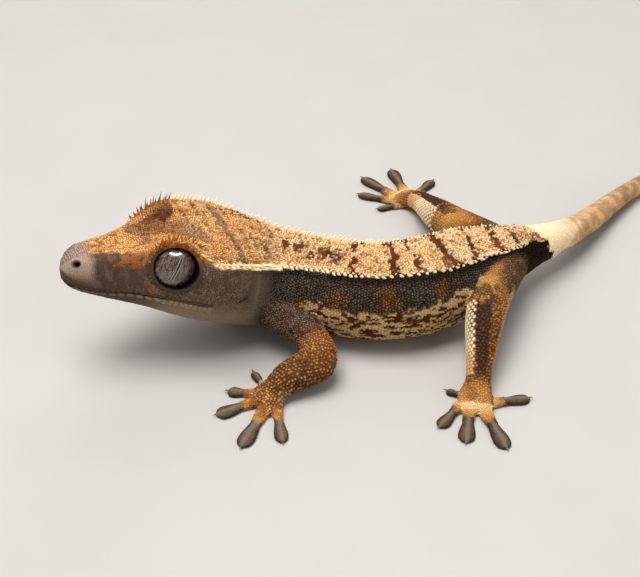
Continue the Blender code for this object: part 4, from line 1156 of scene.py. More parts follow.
def build_skin():
    """One skin over body, legs and toes, blended where they meet, with the head's forms pressed in."""
    raw = raw_body()
    remesh = raw.modifiers.new("skin", "REMESH")
    remesh.mode = "VOXEL"
    remesh.voxel_size = SKIN_VOXEL
    mesh = applied(raw)
    points, pairs = coordinates(mesh), edges_of(mesh)
    count = len(points)
    normals = vertex_normals(mesh)
    hollow = ((neighbour_mean(points, pairs, count) - points) * normals).sum(1) / SKIN_VOXEL
    places = Places(points)
    near_limb = (places.limb_distance < 1.6) & ~((places.s < 24) & (places.limb_distance > 1.0))
    crease = spread_mask(((hollow > CREASE_HOLLOW) & near_limb).astype(float), pairs, CREASE_SPREAD)
    for _ in range(CREASE_PASSES):
        points = points + CREASE_PULL * crease[:, None] * (neighbour_mean(points, pairs, count) - points)
    for pull in SMOOTHING_PULLS:
        points = points + pull * (neighbour_mean(points, pairs, count) - points)
    move_vertices(mesh, points)
    subdivide_head(mesh, points)
    points = coordinates(mesh)
    places = Places(points)
    exact = body_surface(places.s, places.turn)
    gap = np.linalg.norm(exact - points, axis=1)
    snap = (1 - places.on_limb) * smooth_step(0.30, 0.15, gap) * smooth_step(0.6, 1.4, places.limb_distance)
    points = points + snap[:, None] * (exact - points)
    move_vertices(mesh, points)
    mesh.update()
    points = head_relief(places, points, vertex_normals(mesh))
    points[:, 2] = np.maximum(points[:, 2], 0.0)
    move_vertices(mesh, points)
    mesh.update()
    mesh.validate()
    return mesh, points, places


def dark_places(places, points, normals):
    """Painted shade: how dark the skin is painted in the mouth's line, nostrils and ear slits, in the gap
    round each eye and in the groove beyond it.
    """
    gap = mouth_distance(places)
    body = 1 - places.on_limb
    dark = 0.5 * hump(gap, 0.02, 0.10) * smooth_step(0.3, 1.5, places.s) * (places.s < MOUTH_CORNER + 0.3)
    nostril = smooth_step(NOSTRIL_RADIUS + 0.3, NOSTRIL_RADIUS - 0.15, nostril_distance(places))
    dark = np.maximum(dark, nostril)
    dark = np.maximum(dark, 0.95 * ear_slit(places, 1.15, 0.6) * (places.s > 20)) * body
    facing = facing_eyes(normals)
    for side in (1, -1):
        out, reach, _, _ = eye_reach(points, side)
        near = round_eye(out, facing[side])
        dark = np.maximum(dark, near * smooth_step(3.12, 2.98, reach))
        dark = np.maximum(dark, 0.5 * near * hump(reach, 3.82, 0.07))
    return dark


def new_material(name, **values):
    """A material, its nodes and its surface, with some of the surface's values."""
    material = bpy.data.materials.new(name)
    material.use_nodes = True
    shader = material.node_tree.nodes["Principled BSDF"]
    for key, value in values.items():
        shader.inputs[key.replace("_", " ")].default_value = value
    return material, material.node_tree, shader


def node(tree, kind, **settings):
    """A node with its settings and input values; a value may be another node's output."""
    made = tree.nodes.new(kind)
    for key, value in settings.items():
        if key.startswith("in_"):
            label = key[3:].replace("_", " ")
            socket = made.inputs[int(label) if label.isdigit() else label]
            if isinstance(value, bpy.types.NodeSocket):
                tree.links.new(value, socket)
            else:
                socket.default_value = value
        else:
            setattr(made, key, value)
    return made


def calc(tree, operation, *values):
    """The output of a Math node on values or other outputs."""
    inputs = {f"in_{k}": value for k, value in enumerate(values)}
    return node(tree, "ShaderNodeMath", operation=operation, **inputs).outputs[0]


def noise_output(tree, place, scale, detail, **settings):
    """Smooth random values over a place."""
    made = node(tree, "ShaderNodeTexNoise", in_Vector=place, in_Scale=scale, in_Detail=detail, **settings)
    return made.outputs[0]


def ramp_between(tree, value, low, high):
    """A colour between two screen colours, by a value."""
    ramp = node(tree, "ShaderNodeValToRGB", in_Fac=value)
    for element, shade in zip(ramp.color_ramp.elements, (low, high)):
        element.color = (*colour(*shade), 1)
    return ramp.outputs[0]


def covered(tree, base, top, share):
    """The base colour, covered by a plain one where the share is 1."""
    return node(tree, "ShaderNodeMix", data_type="RGBA", in_0=share, in_6=base, in_7=(*top, 1)).outputs[2]


def skin_material(name, roughness, bump_scale, bump_height, gloss):
    """Pigment from the mesh, varied by fine noise, with small wrinkles and an uneven sheen."""
    material, tree, shader = new_material(
        name, Specular_IOR_Level=gloss, Subsurface_Weight=0.05, Subsurface_Radius=(1.0, 0.45, 0.25),
        Subsurface_Scale=0.0004,
    )
    pigment = node(tree, "ShaderNodeAttribute", attribute_name="pigment").outputs["Color"]
    place = node(tree, "ShaderNodeTexCoord").outputs["Object"]
    fine = noise_output(tree, place, bump_scale, 4.0, in_Roughness=0.6)
    soft = noise_output(tree, place, 420.0, 3.0)
    tone = calc(tree, "MULTIPLY_ADD", fine, 0.5, 0.75)
    shade = node(tree, "ShaderNodeVectorMath", operation="SCALE", in_0=pigment, in_Scale=tone)
    tree.links.new(shade.outputs[0], shader.inputs["Base Color"])
    rough = calc(tree, "MULTIPLY_ADD", soft, 0.25, roughness - 0.12)
    tree.links.new(rough, shader.inputs["Roughness"])
    bump = node(tree, "ShaderNodeBump", in_Strength=0.6, in_Distance=bump_height, in_Height=fine)
    tree.links.new(bump.outputs[0], shader.inputs["Normal"])
    return material


def dress(obj, material, slot):
    """Gives a piece its material and lets it ride on the one body; the slot is not used."""
    obj.data.materials.clear()
    obj.data.materials.append(material)
    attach(obj, "root")


def dome_mesh(name, roots, normals, alongs, halves, heights, ground, tops, uv, lean=0.0, shoulder=0.75):
    """Many low domes, one for each scale: a dark foot, a shoulder that is partly pale, and a pale top, the
    foot partly painted shade and the top partly painted light.
    """
    shoulder = np.broadcast_to(np.asarray(shoulder, float), len(roots))[:, None]
    across = np.cross(normals, alongs)
    turns = np.radians(np.arange(DOME_SIDES) * 60 + 30)
    rings = ((1.0, -0.25, 0.0), (0.62, 0.72, shoulder))
    n, top = len(roots), DOME_SIDES * len(rings)
    points, shades, uvs = np.empty((n, top + 1, 3)), np.empty((n, top + 1, 3)), np.empty((n, top + 1, 2))
    for r, (reach, lift, pale) in enumerate(rings):
        for k, turn in enumerate(turns):
            offset = math.cos(turn) * halves[:, :1] * alongs + math.sin(turn) * halves[:, 1:] * across
            rise = (lift * heights)[:, None] * normals + (lean * max(lift, 0) * heights)[:, None] * alongs
            corner = r * DOME_SIDES + k
            points[:, corner] = roots + reach * offset + rise
            # From the dark foot to the pale top: partly the scale's own colours, partly painted shade and
            # painted light.
            shades[:, corner] = ground + pale * (tops - ground)
            uvs[:, corner] = uv + UNWRAP_SPREAD * reach * np.array((math.cos(turn), math.sin(turn)))
    points[:, top] = roots + heights[:, None] * normals + (lean * heights)[:, None] * alongs
    shades[:, top] = tops
    uvs[:, top] = uv
    k = np.arange(DOME_SIDES)
    upper = (k + 1) % DOME_SIDES + DOME_SIDES
    tris = np.stack([k + DOME_SIDES, upper, np.full(DOME_SIDES, top)], axis=1)
    base = (np.arange(n) * (top + 1))[:, None, None]
    quads = tube_faces(len(rings), DOME_SIDES)
    faces = [(quads[None] + base).reshape(-1, 4), (tris[None] + base).reshape(-1, 3)]
    return make_mesh(name, points.reshape(-1, 3), faces, shades.reshape(-1, 3), uvs.reshape(-1, 2))


def spine_mesh(name, roots, ways, bends, lengths, radii, foot_colours, tip_colours, uv, sides=6):
    """Many tapered spines that bend towards their tips."""
    levels = ((-0.35, 1.0, 0.0), (0.15, 0.92, 0.2), (0.55, 0.55, 0.7), (1.0, 0.07, 1.0))
    guide = np.where(np.abs(ways[:, 2:]) < 0.9, np.array([[0, 0, 1.0]]), np.array([[1.0, 0, 0]]))
    across = unit(np.cross(ways, guide))
    third = np.cross(ways, across)
    n, size = len(roots), sides * len(levels)
    points, shades, uvs = np.empty((n, size, 3)), np.empty((n, size, 3)), np.empty((n, size, 2))
    for r, (rise, width, pale) in enumerate(levels):
        middle = roots + (rise * lengths)[:, None] * ways + (max(rise, 0) ** 2 * lengths)[:, None] * bends
        for k in range(sides):
            turn = 2 * math.pi * k / sides
            offset = math.cos(turn) * across + math.sin(turn) * third
            points[:, r * sides + k] = middle + (width * radii)[:, None] * offset
            shades[:, r * sides + k] = foot_colours + pale * (tip_colours - foot_colours)
            uvs[:, r * sides + k] = uv + UNWRAP_SPREAD * width * np.array((math.cos(turn), math.sin(turn)))
    quads = tube_faces(len(levels), sides)
    cap = np.arange(sides)[None] + (len(levels) - 1) * sides
    base = (np.arange(n) * size)[:, None, None]
    faces = [(quads[None] + base).reshape(-1, 4), (cap[None] + base).reshape(-1, sides)]
    return make_mesh(name, points.reshape(-1, 3), faces, shades.reshape(-1, 3), uvs.reshape(-1, 2))


def body_pitch(s):
    """Distance between scales along the body."""
    small = 0.29 + 0.05 * smooth_step(4.0, 9.0, s)
    return small + 0.045 * smooth_step(23.0, 34.0, s) - 0.03 * smooth_step(74.0, 80.0, s)


def body_rows(draw):
    """Places for scales in rows round the body, staggered from row to row."""
    rows, s, number = [], 0.5, 0
    while s < SPINE_LENGTH - 1.0:
        pitch = float(body_pitch(s))
        ring = body_surface(s, FINE_TURNS)
        angle, _ = section_angle(FINE_TURNS)
        local = pitch * np.where(angle < -40, 1.3, np.where(angle > crest_angle_at(s), 0.94, 1.0))
        reached = distances(ring)
        density = np.concatenate([[0], np.cumsum(np.diff(reached) / (0.5 * (local[1:] + local[:-1])))])
        at = np.arange(0.5 * (number % 2), density[-1], 1.0)
        at = at + draw.uniform(-0.24, 0.24, len(at))
        turns = np.interp(at, density, FINE_TURNS)
        jitter = s + draw.uniform(-0.24, 0.24, len(at)) * pitch
        points = body_surface(jitter, turns)
        size = np.interp(turns, FINE_TURNS, local)
        rows.append(np.column_stack([points, size, np.zeros(len(at))]))
        s += ROW_SPACING * pitch
        number += 1
    return np.concatenate(rows)


# Distance between scales down the hind legs and down the front legs.
LEG_SCALES = (
    curve_through(((0.0, 0.38), (0.35, 0.40), (0.5, 0.50), (0.78, 0.50), (0.9, 0.38), (1.0, 0.36))),
    curve_through(((0.0, 0.38), (0.38, 0.40), (0.5, 0.50), (0.75, 0.55), (0.95, 0.44), (1.0, 0.42))),
)


def limb_rows(draw):
    """Places for scales on legs, palms and the roots of toes."""
    rows, all_round = [], np.linspace(0, 360, 73)
    for number, sheet in enumerate(SHEETS[1:], 1):
        toe = "toe" in sheet.name
        size = LEG_SCALES[sheet.name.startswith("front")]
        length = float(distances(sheet.points[:, 0])[-1])
        last = 0.5 if toe else 1.0
        share, row = 0.0, 0
        while share < last:
            pitch = 0.34 if toe else float(size(np.array(share))[..., 0])
            reached = distances(sheet.surface(share, all_round))
            at = (np.arange(0, reached[-1] / pitch, 1.0) + 0.5 * (row % 2)) * pitch
            at = at + draw.uniform(-0.22, 0.22, len(at)) * pitch
            turns = np.interp(at, reached, all_round)
            shares = share + draw.uniform(-0.28, 0.28, len(at)) * pitch / length
            points = sheet.surface(np.clip(shares, 0, 1), turns)
            rows.append(np.column_stack([points, np.full(len(at), pitch), np.full(len(at), number)]))
            share += ROW_SPACING * pitch / length
            row += 1
    return np.concatenate(rows)


def thinned(points, sizes):
    """Marks the points to keep, so that none stands too close to one already kept."""
    grid, keep = {}, np.zeros(len(points), bool)
    for k, p in enumerate(points):
        key = tuple(int(c) for c in np.floor(p / SEARCH_CELL))
        clash = False
        for dx in (-1, 0, 1):
            for dy in (-1, 0, 1):
                for dz in (-1, 0, 1):
                    for other in grid.get((key[0] + dx, key[1] + dy, key[2] + dz), ()):
                        least = LEAST_DISTANCE * min(sizes[k], sizes[other])
                        if ((points[other] - p) ** 2).sum() < least**2:
                            clash = True
                            break
        if not clash:
            keep[k] = True
            grid.setdefault(key, []).append(k)
    return keep


def piece_of(places):
    """The name of the scale piece that a place belongs to, and its place on that piece's unwrap."""
    limits = (0.0, NECK_START, TRUNK_START, TRUNK_MIDDLE, TRUNK_END, SPINE_LENGTH)
    names = ("scales_head", "scales_neck", "scales_trunk_front", "scales_trunk_back", "scales_tail")
    part = np.clip(np.searchsorted(limits, places.s, side="right") - 1, 0, len(names) - 1)
    low, high = np.array(limits)[part], np.array(limits)[part + 1]
    u = (places.s - low) / (high - low)
    v = ((places.turn + 90) % 360) / 360
    name = np.array(names, dtype="U32")[part]
    sheet_names = SHEET_NAMES[places.sheet]
    limb = places.on_limb > 0.5
    for k in np.nonzero(limb)[0]:
        owner = sheet_names[k]
        toe = int(owner[-1]) if "toe" in owner else -1
        name[k] = "scales_" + "_".join(owner.split("_")[:2])
        u[k] = places.share[k]
        turn = (places.limb_turn[k] % 360) / 360
        v[k] = 0.5 * turn if toe < 0 else 0.5 + 0.1 * (toe + turn)
    return name, np.stack([0.01 + 0.98 * np.clip(u, 0, 1), 0.01 + 0.98 * np.clip(v, 0, 1)], axis=1)


def along_directions(places):
    """The way towards the tail, or down the leg, at each place."""
    _, along, _, _ = body_frame(places.s)
    for n in np.unique(places.sheet):
        here = (places.sheet == n) & (places.on_limb > 0.5)
        if here.any():
            along[here] = SHEETS[n].way_down(np.clip(places.share[here], 0.02, 0.96), places.limb_turn[here])
    return along


def along_skin(way, normals):
    """The way laid flat on the skin."""
    return unit(way - (way * normals).sum(1, keepdims=True) * normals)


def snap_to_skin(tree, points, most):
    """The nearest points of the skin, its normals there, and which points have skin within reach."""
    found, normals, near = points.copy(), np.zeros_like(points), np.zeros(len(points), bool)
    for k, p in enumerate(points):
        hit, normal, _, _ = tree.find_nearest(Vector(p), most)
        if hit is not None:
            found[k], normals[k], near[k] = hit, normal, True
    return found, normals, near


def build_scales(tree, materials):
    """Granular scales everywhere but on pads, eyes, mouth, nostrils and ears."""
    draw = np.random.default_rng(SCALE_SEED)
    rows = np.concatenate([body_rows(draw), limb_rows(draw)])
    points, sizes, sheet = rows[:, :3], rows[:, 3], rows[:, 4].astype(int)
    found, normals, near = snap_to_skin(tree, points, 0.9)
    found, normals, sizes, sheet = found[near], normals[near], sizes[near], sheet[near]
    places = Places(found)
    own = (places.on_limb > 0.5) == (sheet > 0)
    own &= (sheet == 0) | (places.sheet == sheet) | (places.share < 0.2)
    clear = np.abs(mouth_distance(places)) > np.where(places.s < MOUTH_CORNER + 0.4, 0.62, 0.0)
    clear |= places.s > MOUTH_CORNER + 0.4
    clear &= nostril_distance(places) > NOSTRIL_RADIUS + 0.2
    slit_along, slit_across = ear_offset(places)
    off_slit = np.hypot(slit_along / (EAR_HALF_LENGTH + 0.2), slit_across / (EAR_HALF_WIDTH + 0.2)) > 1
    clear &= off_slit | (places.s < 20)
    facing = facing_eyes(normals)
    for side in (1, -1):
        out, reach, _, _ = eye_reach(found, side)
        clear &= (reach > LID_RING + 0.35) | (out < -0.6) | (facing[side] < -0.2)
    clear |= places.on_limb > 0.5
    clear &= found[:, 2] > 0.16
    toe = np.char.find(SHEET_NAMES[places.sheet], "toe") >= 0
    clear &= ~(toe & (places.on_limb > 0.5) & (places.share > 0.40))
    shank = np.isin(SHEET_NAMES[places.sheet], ("back_left", "back_right")) & (places.on_limb > 0.5)
    round_leg = turn_from_lead(places.limb_turn, SHEET_NAMES[places.sheet] == "back_left")
    shank &= (round_leg > SHANK_FIRST) & (round_leg < SHANK_LAST)
    clear &= ~(shank & (places.share > SHANK_TOP) & (places.share < SHANK_END))
    keep = own & clear
    found, normals, sizes = found[keep], normals[keep], sizes[keep]
    keep = thinned(found, sizes)
    found, normals, sizes = found[keep], normals[keep], sizes[keep]
    places = Places(found)
    ground, tops = paint(places, normals)
    along = along_skin(along_directions(places), normals)
    wide = draw.uniform(0.80, 1.12, (len(found), 1)) * draw.uniform(0.92, 1.08, (len(found), 2))
    halves = sizes[:, None] * 0.53 * wide
    on_body = places.on_limb < 0.5
    on_back = (places.angle > crest_angle_at(places.s)) & on_body & (places.s > 17) & (places.s < 76)
    rise = np.where(on_back, 0.50, 0.32) * draw.uniform(0.75, 1.2, len(found))
    rise = np.where((places.s < 20) & on_body & ~on_back, 0.20, rise)
    rise = np.where((places.angle < -45) & on_body, 0.18, rise)
    rise = np.where((places.s > 77) & on_body, 0.2, rise)
    rise = np.where(places.on_limb > 0.5, 0.36, rise)
    dotted = ~on_back & (places.s > 24) & (places.s < 76) & (places.angle > -50)
    dotted |= (places.on_limb > 0.5) & (places.share < 0.8)
    tall = on_back & (draw.random(len(found)) < 0.22)
    heights = sizes * np.where(tall, rise * 1.9, rise)
    tops = mixed(tops, WHITE, 0.35 * tall * smooth_step(0.2, 0.5, tops[:, 0]))
    names, uv = piece_of(places)
    for name in sorted(set(names)):
        here = names == name
        lean = np.where(on_back[here], 0.5, 0.15)
        shoulder = np.where(dotted[here], 0.30, 0.75)
        obj = dome_mesh(
            str(name), found[here], normals[here], along[here], halves[here], heights[here],
            ground[here], tops[here], uv[here], lean, shoulder,
        )
        slot = "head_skin" if "head" in name else "tail_skin" if "tail" in name else "body_skin"
        slot = "leg_skin" if "left" in name or "right" in name else slot
        dress(obj, materials["scale"], slot)


def crest_rows(tree, material):
    """The fringe of pointed scales along both crests, from behind the eyes to the tail."""
    draw = np.random.default_rng(CREST_SEED)
    feet, stations, sides, rows = [], [], [], []
    for side in (1, -1):
        s = 17.2
        while s < 72.0:
            pitch = 0.74 + 0.25 * float(smooth_step(44.0, 50.0, s)) * (side > 0)
            for row, (shift, higher) in enumerate(((0.0, 0.0), (0.5, 3.4))):
                at = s + shift * pitch + draw.uniform(-0.08, 0.08)
                angle = float(crest_angle_at(at)) - 0.5 + higher + draw.uniform(-0.8, 0.8)
                feet.append(body_surface(at, angle if side > 0 else 180 - angle))
                stations.append(at)
                sides.append(side)
                rows.append(row)
            s += pitch
    feet, s, side, row = np.array(feet), np.array(stations), np.array(sides), np.array(rows)
    feet, normals, _ = snap_to_skin(tree, feet, 1.0)
    _, along, left, up = body_frame(s)
    ways = unit(0.7 * normals + 0.7 * side[:, None] * left - 0.12 * up + 0.30 * along)
    size = 0.78 + 0.55 * hump(s, 24.5, 3.2) + 0.25 * hump(s, 36.5, 4.5) - 0.26 * smooth_step(46.0, 60.0, s)
    uneven = np.where(s > 44, draw.uniform(0.25, 1.25, len(s)), draw.uniform(0.7, 1.25, len(s)))
    size = size * uneven * np.where(row == 0, 1.0, 0.55)
    radii = (0.25 + 0.04 * smooth_step(28.0, 34.0, s)) * draw.uniform(0.85, 1.1, len(s))
    radii = radii * np.where(row == 0, 1.0, 0.8)
    ridge = (side > 0) * smooth_step(18.5, 20.5, s) * smooth_step(31.5, 30.5, s)
    size = size * (1 - 0.42 * ridge * (row == 0))
    radii = radii * (1 + 0.45 * ridge)
    warm = smooth_step(20.5, 18.0, s) * np.where(side > 0, 1.0, 0.25)
    size = size + 0.3 * hump(s, 20.0, 3.0) * (side < 0) * (row == 0)
    foot_colour = mixed(mixed(CREAM, TAN, 0.4), ORANGE, 0.4 * warm) * 0.85
    tip_colour = mixed(mixed(WHITE, CREAM, 0.1), TAN, 0.7 * warm)
    uv = np.stack([0.01 + 0.98 * (s - 17) / 59, 0.25 + 0.4 * (side < 0) + 0.05 * row], axis=1)
    obj = spine_mesh("crest_spines", feet, ways, 0.3 * along, size, radii, foot_colour, tip_colour, uv)
    dress(obj, material, "body_skin")


def lash_rows(material):
    """The fringe over each eye: orange-brown spikes in two rows, longest at the top."""
    draw = np.random.default_rng(LASH_SEED)
    roots, ways, bends, lengths, radii, uv = [], [], [], [], [], []
    for side in (1, -1):
        middle, look, up, ahead = eye_axes(side)
        for row, (count, first, last) in enumerate(((17, 8, 172), (14, 20, 160), (11, 35, 150))):
            for k in range(count):
                degrees = first + (last - first) * k / (count - 1) + draw.uniform(-3, 3)
                out = math.cos(math.radians(degrees)) * ahead + math.sin(math.radians(degrees)) * up
                reach = LID_RING + 0.25 + 0.28 * row
                root = middle + (LID_OUT + 0.25 - 0.06 * row) * look + reach * out
                roots.append(root)
                way = (0.75 + 0.1 * row) * out + (0.65 - 0.2 * row) * look + draw.normal(0, 0.09, 3)
                ways.append(unit(way))
                bends.append(0.25 * up + 0.15 * HEAD_BACK)
                high = 0.35 + 0.65 * math.sin(math.radians(np.clip(degrees, 0, 180)))
                lengths.append((1.6, 1.2, 0.7)[row] * high * draw.uniform(0.65, 1.2))
                radii.append((0.20, 0.18, 0.17)[row])
                uv.append((0.05 + 0.9 * degrees / 180, 0.2 + 0.1 * row + 0.4 * (side < 0)))
    n = len(roots)
    foot = mixed(np.tile(ORANGE, (n, 1)), TAN, 0.6 * draw.random(n))
    tip = mixed(np.tile(mixed(ORANGE, RUST, 0.6), (n, 1)), DARK_BROWN, 0.9 * draw.random(n))
    roots, ways, bends, lengths, radii, uv = map(np.array, (roots, ways, bends, lengths, radii, uv))
    obj = spine_mesh("lashes", roots, ways, bends, lengths, radii, foot, tip, uv)
    dress(obj, material, "head_skin")


# The rows of plates along the lips: distance above the mouth's line, where they begin, and half height.
LIP_ROWS = ((-0.44, 1.6, 0.36), (0.40, 1.6, 0.34), (-1.05, 13.0, 0.30))


def lip_scales(tree, material):
    """Plates along the lips: long and faint in front, shorter and paler below the mouth's corner."""
    draw = np.random.default_rng(LIP_SEED)
    roots, halves, heights, shades, uv = [], [], [], [], []
    for side in (1, -1):
        for row, (offset, first, half_height) in enumerate(LIP_ROWS):
            s = first
            while s < MOUTH_CORNER - 0.2:
                pitch = 1.15 - 0.5 * float(smooth_step(11.0, 15.0, s)) if row == 0 else 0.62 + 0.015 * s
                middle = s + 0.5 * pitch
                angle = float(mouth_angle_at(middle))
                one_degree = body_surface(middle, angle + 1) - body_surface(middle, angle)
                angle += offset / float(np.linalg.norm(one_degree))
                roots.append(body_surface(middle, angle if side > 0 else 180 - angle))
                halves.append((0.58 * pitch, half_height))
                heights.append(0.12)
                pale = float(smooth_step(7.0, 14.5, middle))
                upper = mixed(PURPLE_BROWN, GREY_BROWN, draw.uniform(0.0, 0.8))
                amount = (0.4 + 0.6 * pale) * draw.uniform(0.8, 1.0)
                lower = mixed(GREY_BROWN, mixed(LIP, CREAM, 0.12 * pale), amount)
                shades.append(upper if row == 1 else lower)
                uv.append((0.02 + 0.9 * s / 20, 0.1 + 0.15 * row + 0.5 * (side < 0)))
                s += pitch
    found, normals, _ = snap_to_skin(tree, np.array(roots), 1.0)
    along = along_skin(np.tile(HEAD_BACK, (len(found), 1)), normals)
    halves, heights, tops, uv = map(np.array, (halves, heights, shades, uv))
    # Each plate's foot is darker than its top: painted shade round the plate.
    obj = dome_mesh("lip_scales", found, normals, along, halves, heights, tops * 0.6, tops, uv)
    dress(obj, material, "head_skin")


def shank_scales(tree, material):
    """Rows of large pale scales down the leading edge of both shanks, overlapping towards the foot."""
    draw = np.random.default_rng(SHANK_SEED)
    for name in ("back_left", "back_right"):
        sheet = SHEETS[int(np.nonzero(SHEET_NAMES == name)[0][0])]
        length = float(distances(sheet.points[:, 0])[-1])
        share, turns, row = [], [], 0
        at = SHANK_TOP
        while at < SHANK_END:
            for column in range(SHANK_COLUMNS):
                across = (column + 0.25 + 0.5 * (row % 2)) / SHANK_COLUMNS
                share.append(at + draw.uniform(-0.08, 0.08) * SHANK_PITCH / length)
                turns.append(SHANK_FIRST + (SHANK_LAST - SHANK_FIRST) * across)
            at += 0.72 * SHANK_PITCH / length
            row += 1
        share, turns = np.array(share), np.array(turns)
        turns = turns if name.endswith("left") else 180 - turns
        found, normals, _ = snap_to_skin(tree, sheet.surface(share, turns), 1.0)
        along = along_skin(sheet.way_down(share, turns), normals)
        n = len(found)
        halves = SHANK_PITCH * np.stack([draw.uniform(0.55, 0.65, n), draw.uniform(0.46, 0.54, n)], axis=1)
        tops = mixed(mixed(CREAM, BUFF, 0.5 * draw.random(n)), WHITE, 0.3 + 0.4 * draw.random(n))
        fading = smooth_step(0.66, 0.78, share + draw.uniform(-0.03, 0.03, n))
        tops = mixed(tops, ORANGE, 0.6 * fading)
        uv = np.stack([0.02 + 0.96 * share, 0.1 + 0.8 * (turns % 360) / 360], axis=1)
        # The feet are far darker than the tops: painted shade between the overlapping scales.
        obj = dome_mesh(
            f"shank_scales_{name}", found, normals, along, halves, np.full(n, 0.24), tops * 0.2, tops, uv,
            lean=0.9, shoulder=0.85,
        )
        dress(obj, material, "leg_skin")


def claw_material():
    material, tree, shader = new_material("claw", Roughness=0.25)
    place = node(tree, "ShaderNodeTexCoord").outputs["Object"]
    horn = ramp_between(tree, noise_output(tree, place, 5000.0, 3.0), (52, 40, 32), (150, 125, 92))
    tree.links.new(horn, shader.inputs["Base Color"])
    return material


def build_claws():
    """A small curved claw at the tip of every toe."""
    roots, ways = [], []
    for sheet in SHEETS:
        if "toe" in sheet.name:
            tip, before = sheet.line(0.97), sheet.line(0.85)
            roots.append(tip + (0, 0, 0.2))
            ways.append(unit(unit((tip - before) * (1, 1, 0)) + (0, 0, 0.35)))
    roots, ways, n = np.array(roots), np.array(ways), len(roots)
    bends = np.tile((0.0, 0.0, -0.55), (n, 1))
    shade = np.tile(colour(90, 70, 55), (n, 1))
    uv = np.stack([np.linspace(0.1, 0.9, n), np.full(n, 0.5)], axis=1)
    lengths, radii = np.full(n, CLAW_LENGTH), np.full(n, CLAW_RADIUS)
    obj = spine_mesh("claws", roots, ways, bends, lengths, radii, shade, shade, uv, sides=8)
    dress(obj, claw_material(), "foot_skin")


# The iris from its dark veins to its pale ground, as places on a ramp and screen values.
IRIS_SHADES = ((0.34, (28, 19, 17)), (0.46, (74, 54, 47)), (0.58, (132, 106, 94)), (0.72, (88, 66, 57)))


def eye_material():
    """A brown-grey iris with dark veins, a slit pupil with pale notched edges, a rim darkened with painted
    shade from the lids, and a wet surface.
    """
    material, tree, shader = new_material("eye", Roughness=0.25, Coat_Weight=1.0, Coat_Roughness=0.02)
    place = node(tree, "ShaderNodeAttribute", attribute_name="iris_place").outputs["Vector"]
    parts = node(tree, "ShaderNodeSeparateXYZ", in_0=place)
    x, y = parts.outputs[0], parts.outputs[1]
    stretch = node(tree, "ShaderNodeMapping", in_Vector=place)
    stretch.inputs["Scale"].default_value = (7.0, 2.2, 1.0)
    long = stretch.outputs[0]
    veins = noise_output(tree, long, 1.6, 6.0, in_Roughness=0.7, in_Distortion=0.6)
    cells = node(tree, "ShaderNodeTexVoronoi", feature="DISTANCE_TO_EDGE", in_Vector=long, in_Scale=2.2)
    ramp = node(tree, "ShaderNodeValToRGB", in_Fac=veins)
    for position, shade in IRIS_SHADES:
        element = ramp.color_ramp.elements.new(position)
        element.color = (*colour(*shade), 1)
    ramp.color_ramp.elements.remove(ramp.color_ramp.elements[0])
    ramp.color_ramp.elements.remove(ramp.color_ramp.elements[-1])
    net = calc(tree, "SMOOTH_MIN", cells.outputs[0], 0.12, 0.05)
    net = calc(tree, "MULTIPLY_ADD", net, 4.0, 0.55)
    iris = node(tree, "ShaderNodeVectorMath", operation="SCALE", in_0=ramp.outputs[0], in_Scale=net)

    notch = node(tree, "ShaderNodeTexNoise", noise_dimensions="1D", in_W=y, in_Scale=9.0, in_Detail=2.0)
    reached = calc(tree, "ABSOLUTE", calc(tree, "DIVIDE", y, PUPIL_HALF_LENGTH))
    taper = calc(tree, "SUBTRACT", 1.0, calc(tree, "POWER", reached, 4.0))
    half = calc(tree, "MULTIPLY", calc(tree, "MULTIPLY_ADD", notch.outputs[0], 0.04, 0.028), taper)
    off = calc(tree, "ABSOLUTE", x)
    pupil = calc(tree, "LESS_THAN", off, half)
    rim = calc(tree, "LESS_THAN", off, calc(tree, "MULTIPLY_ADD", taper, 0.03, half))
    reach = calc(tree, "SQRT", calc(tree, "ADD", calc(tree, "MULTIPLY", x, x), calc(tree, "MULTIPLY", y, y)))
    # The eyeball's rim darkened: painted shade where it meets the lids.
    rim_shade = node(tree, "ShaderNodeMapRange", in_Value=reach, in_1=0.91, in_2=0.99)
    shown = covered(tree, iris.outputs[0], colour(196, 180, 160), calc(tree, "MULTIPLY", rim, 0.7))
    shown = covered(tree, shown, (0.002, 0.002, 0.002), pupil)
    shown = covered(tree, shown, colour(22, 16, 15), rim_shade.outputs[0])
    tree.links.new(shown, shader.inputs["Base Color"])
    return material


def build_eyes():
    """A smooth eyeball for each side, marked with its place across and along the pupil."""
    material = eye_material()
    rings, columns = 48, 96
    for side, word in ((1, "left"), (-1, "right")):
        middle, look, up, ahead = eye_axes(side)
        tilt = math.radians(PUPIL_TILT)
        long_way = math.cos(tilt) * up - math.sin(tilt) * ahead
        wide_way = math.cos(tilt) * ahead + math.sin(tilt) * up
        polar = np.linspace(0.02, math.pi - 0.02, rings)[:, None]
        turn = np.linspace(0, 2 * math.pi, columns, endpoint=False)[None]
        a, b = np.sin(polar) * np.cos(turn), np.sin(polar) * np.sin(turn)
        depth = np.broadcast_to(EYE_DEPTH * np.cos(polar), a.shape)
        radius = EYE_RADIUS - 0.02
        grid = middle + radius * a[..., None] * wide_way
        grid = grid + radius * b[..., None] * long_way + depth[..., None] * look
        ends = np.stack([middle + EYE_DEPTH * look, middle - EYE_DEPTH * look])
        points = np.concatenate([grid.reshape(-1, 3), ends])
        iris = np.concatenate([np.stack([a, b, np.zeros_like(a)], axis=-1).reshape(-1, 3), np.zeros((2, 3))])
        k = np.arange(columns)
        last = (rings - 1) * columns
        start = np.stack([k, (k + 1) % columns, np.full(columns, rings * columns)], axis=1)
        stop = np.stack([last + (k + 1) % columns, last + k, np.full(columns, rings * columns + 1)], axis=1)
        quads = tube_faces(rings, columns)[:, ::-1]
        faces = [quads, np.concatenate([start, stop])]
        obj = make_mesh(f"eyeball_{word}", points, faces, attributes={"iris_place": iris})
        outward_faces(obj)
        dress(obj, material, "eye")
        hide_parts(f"eye_{word}")


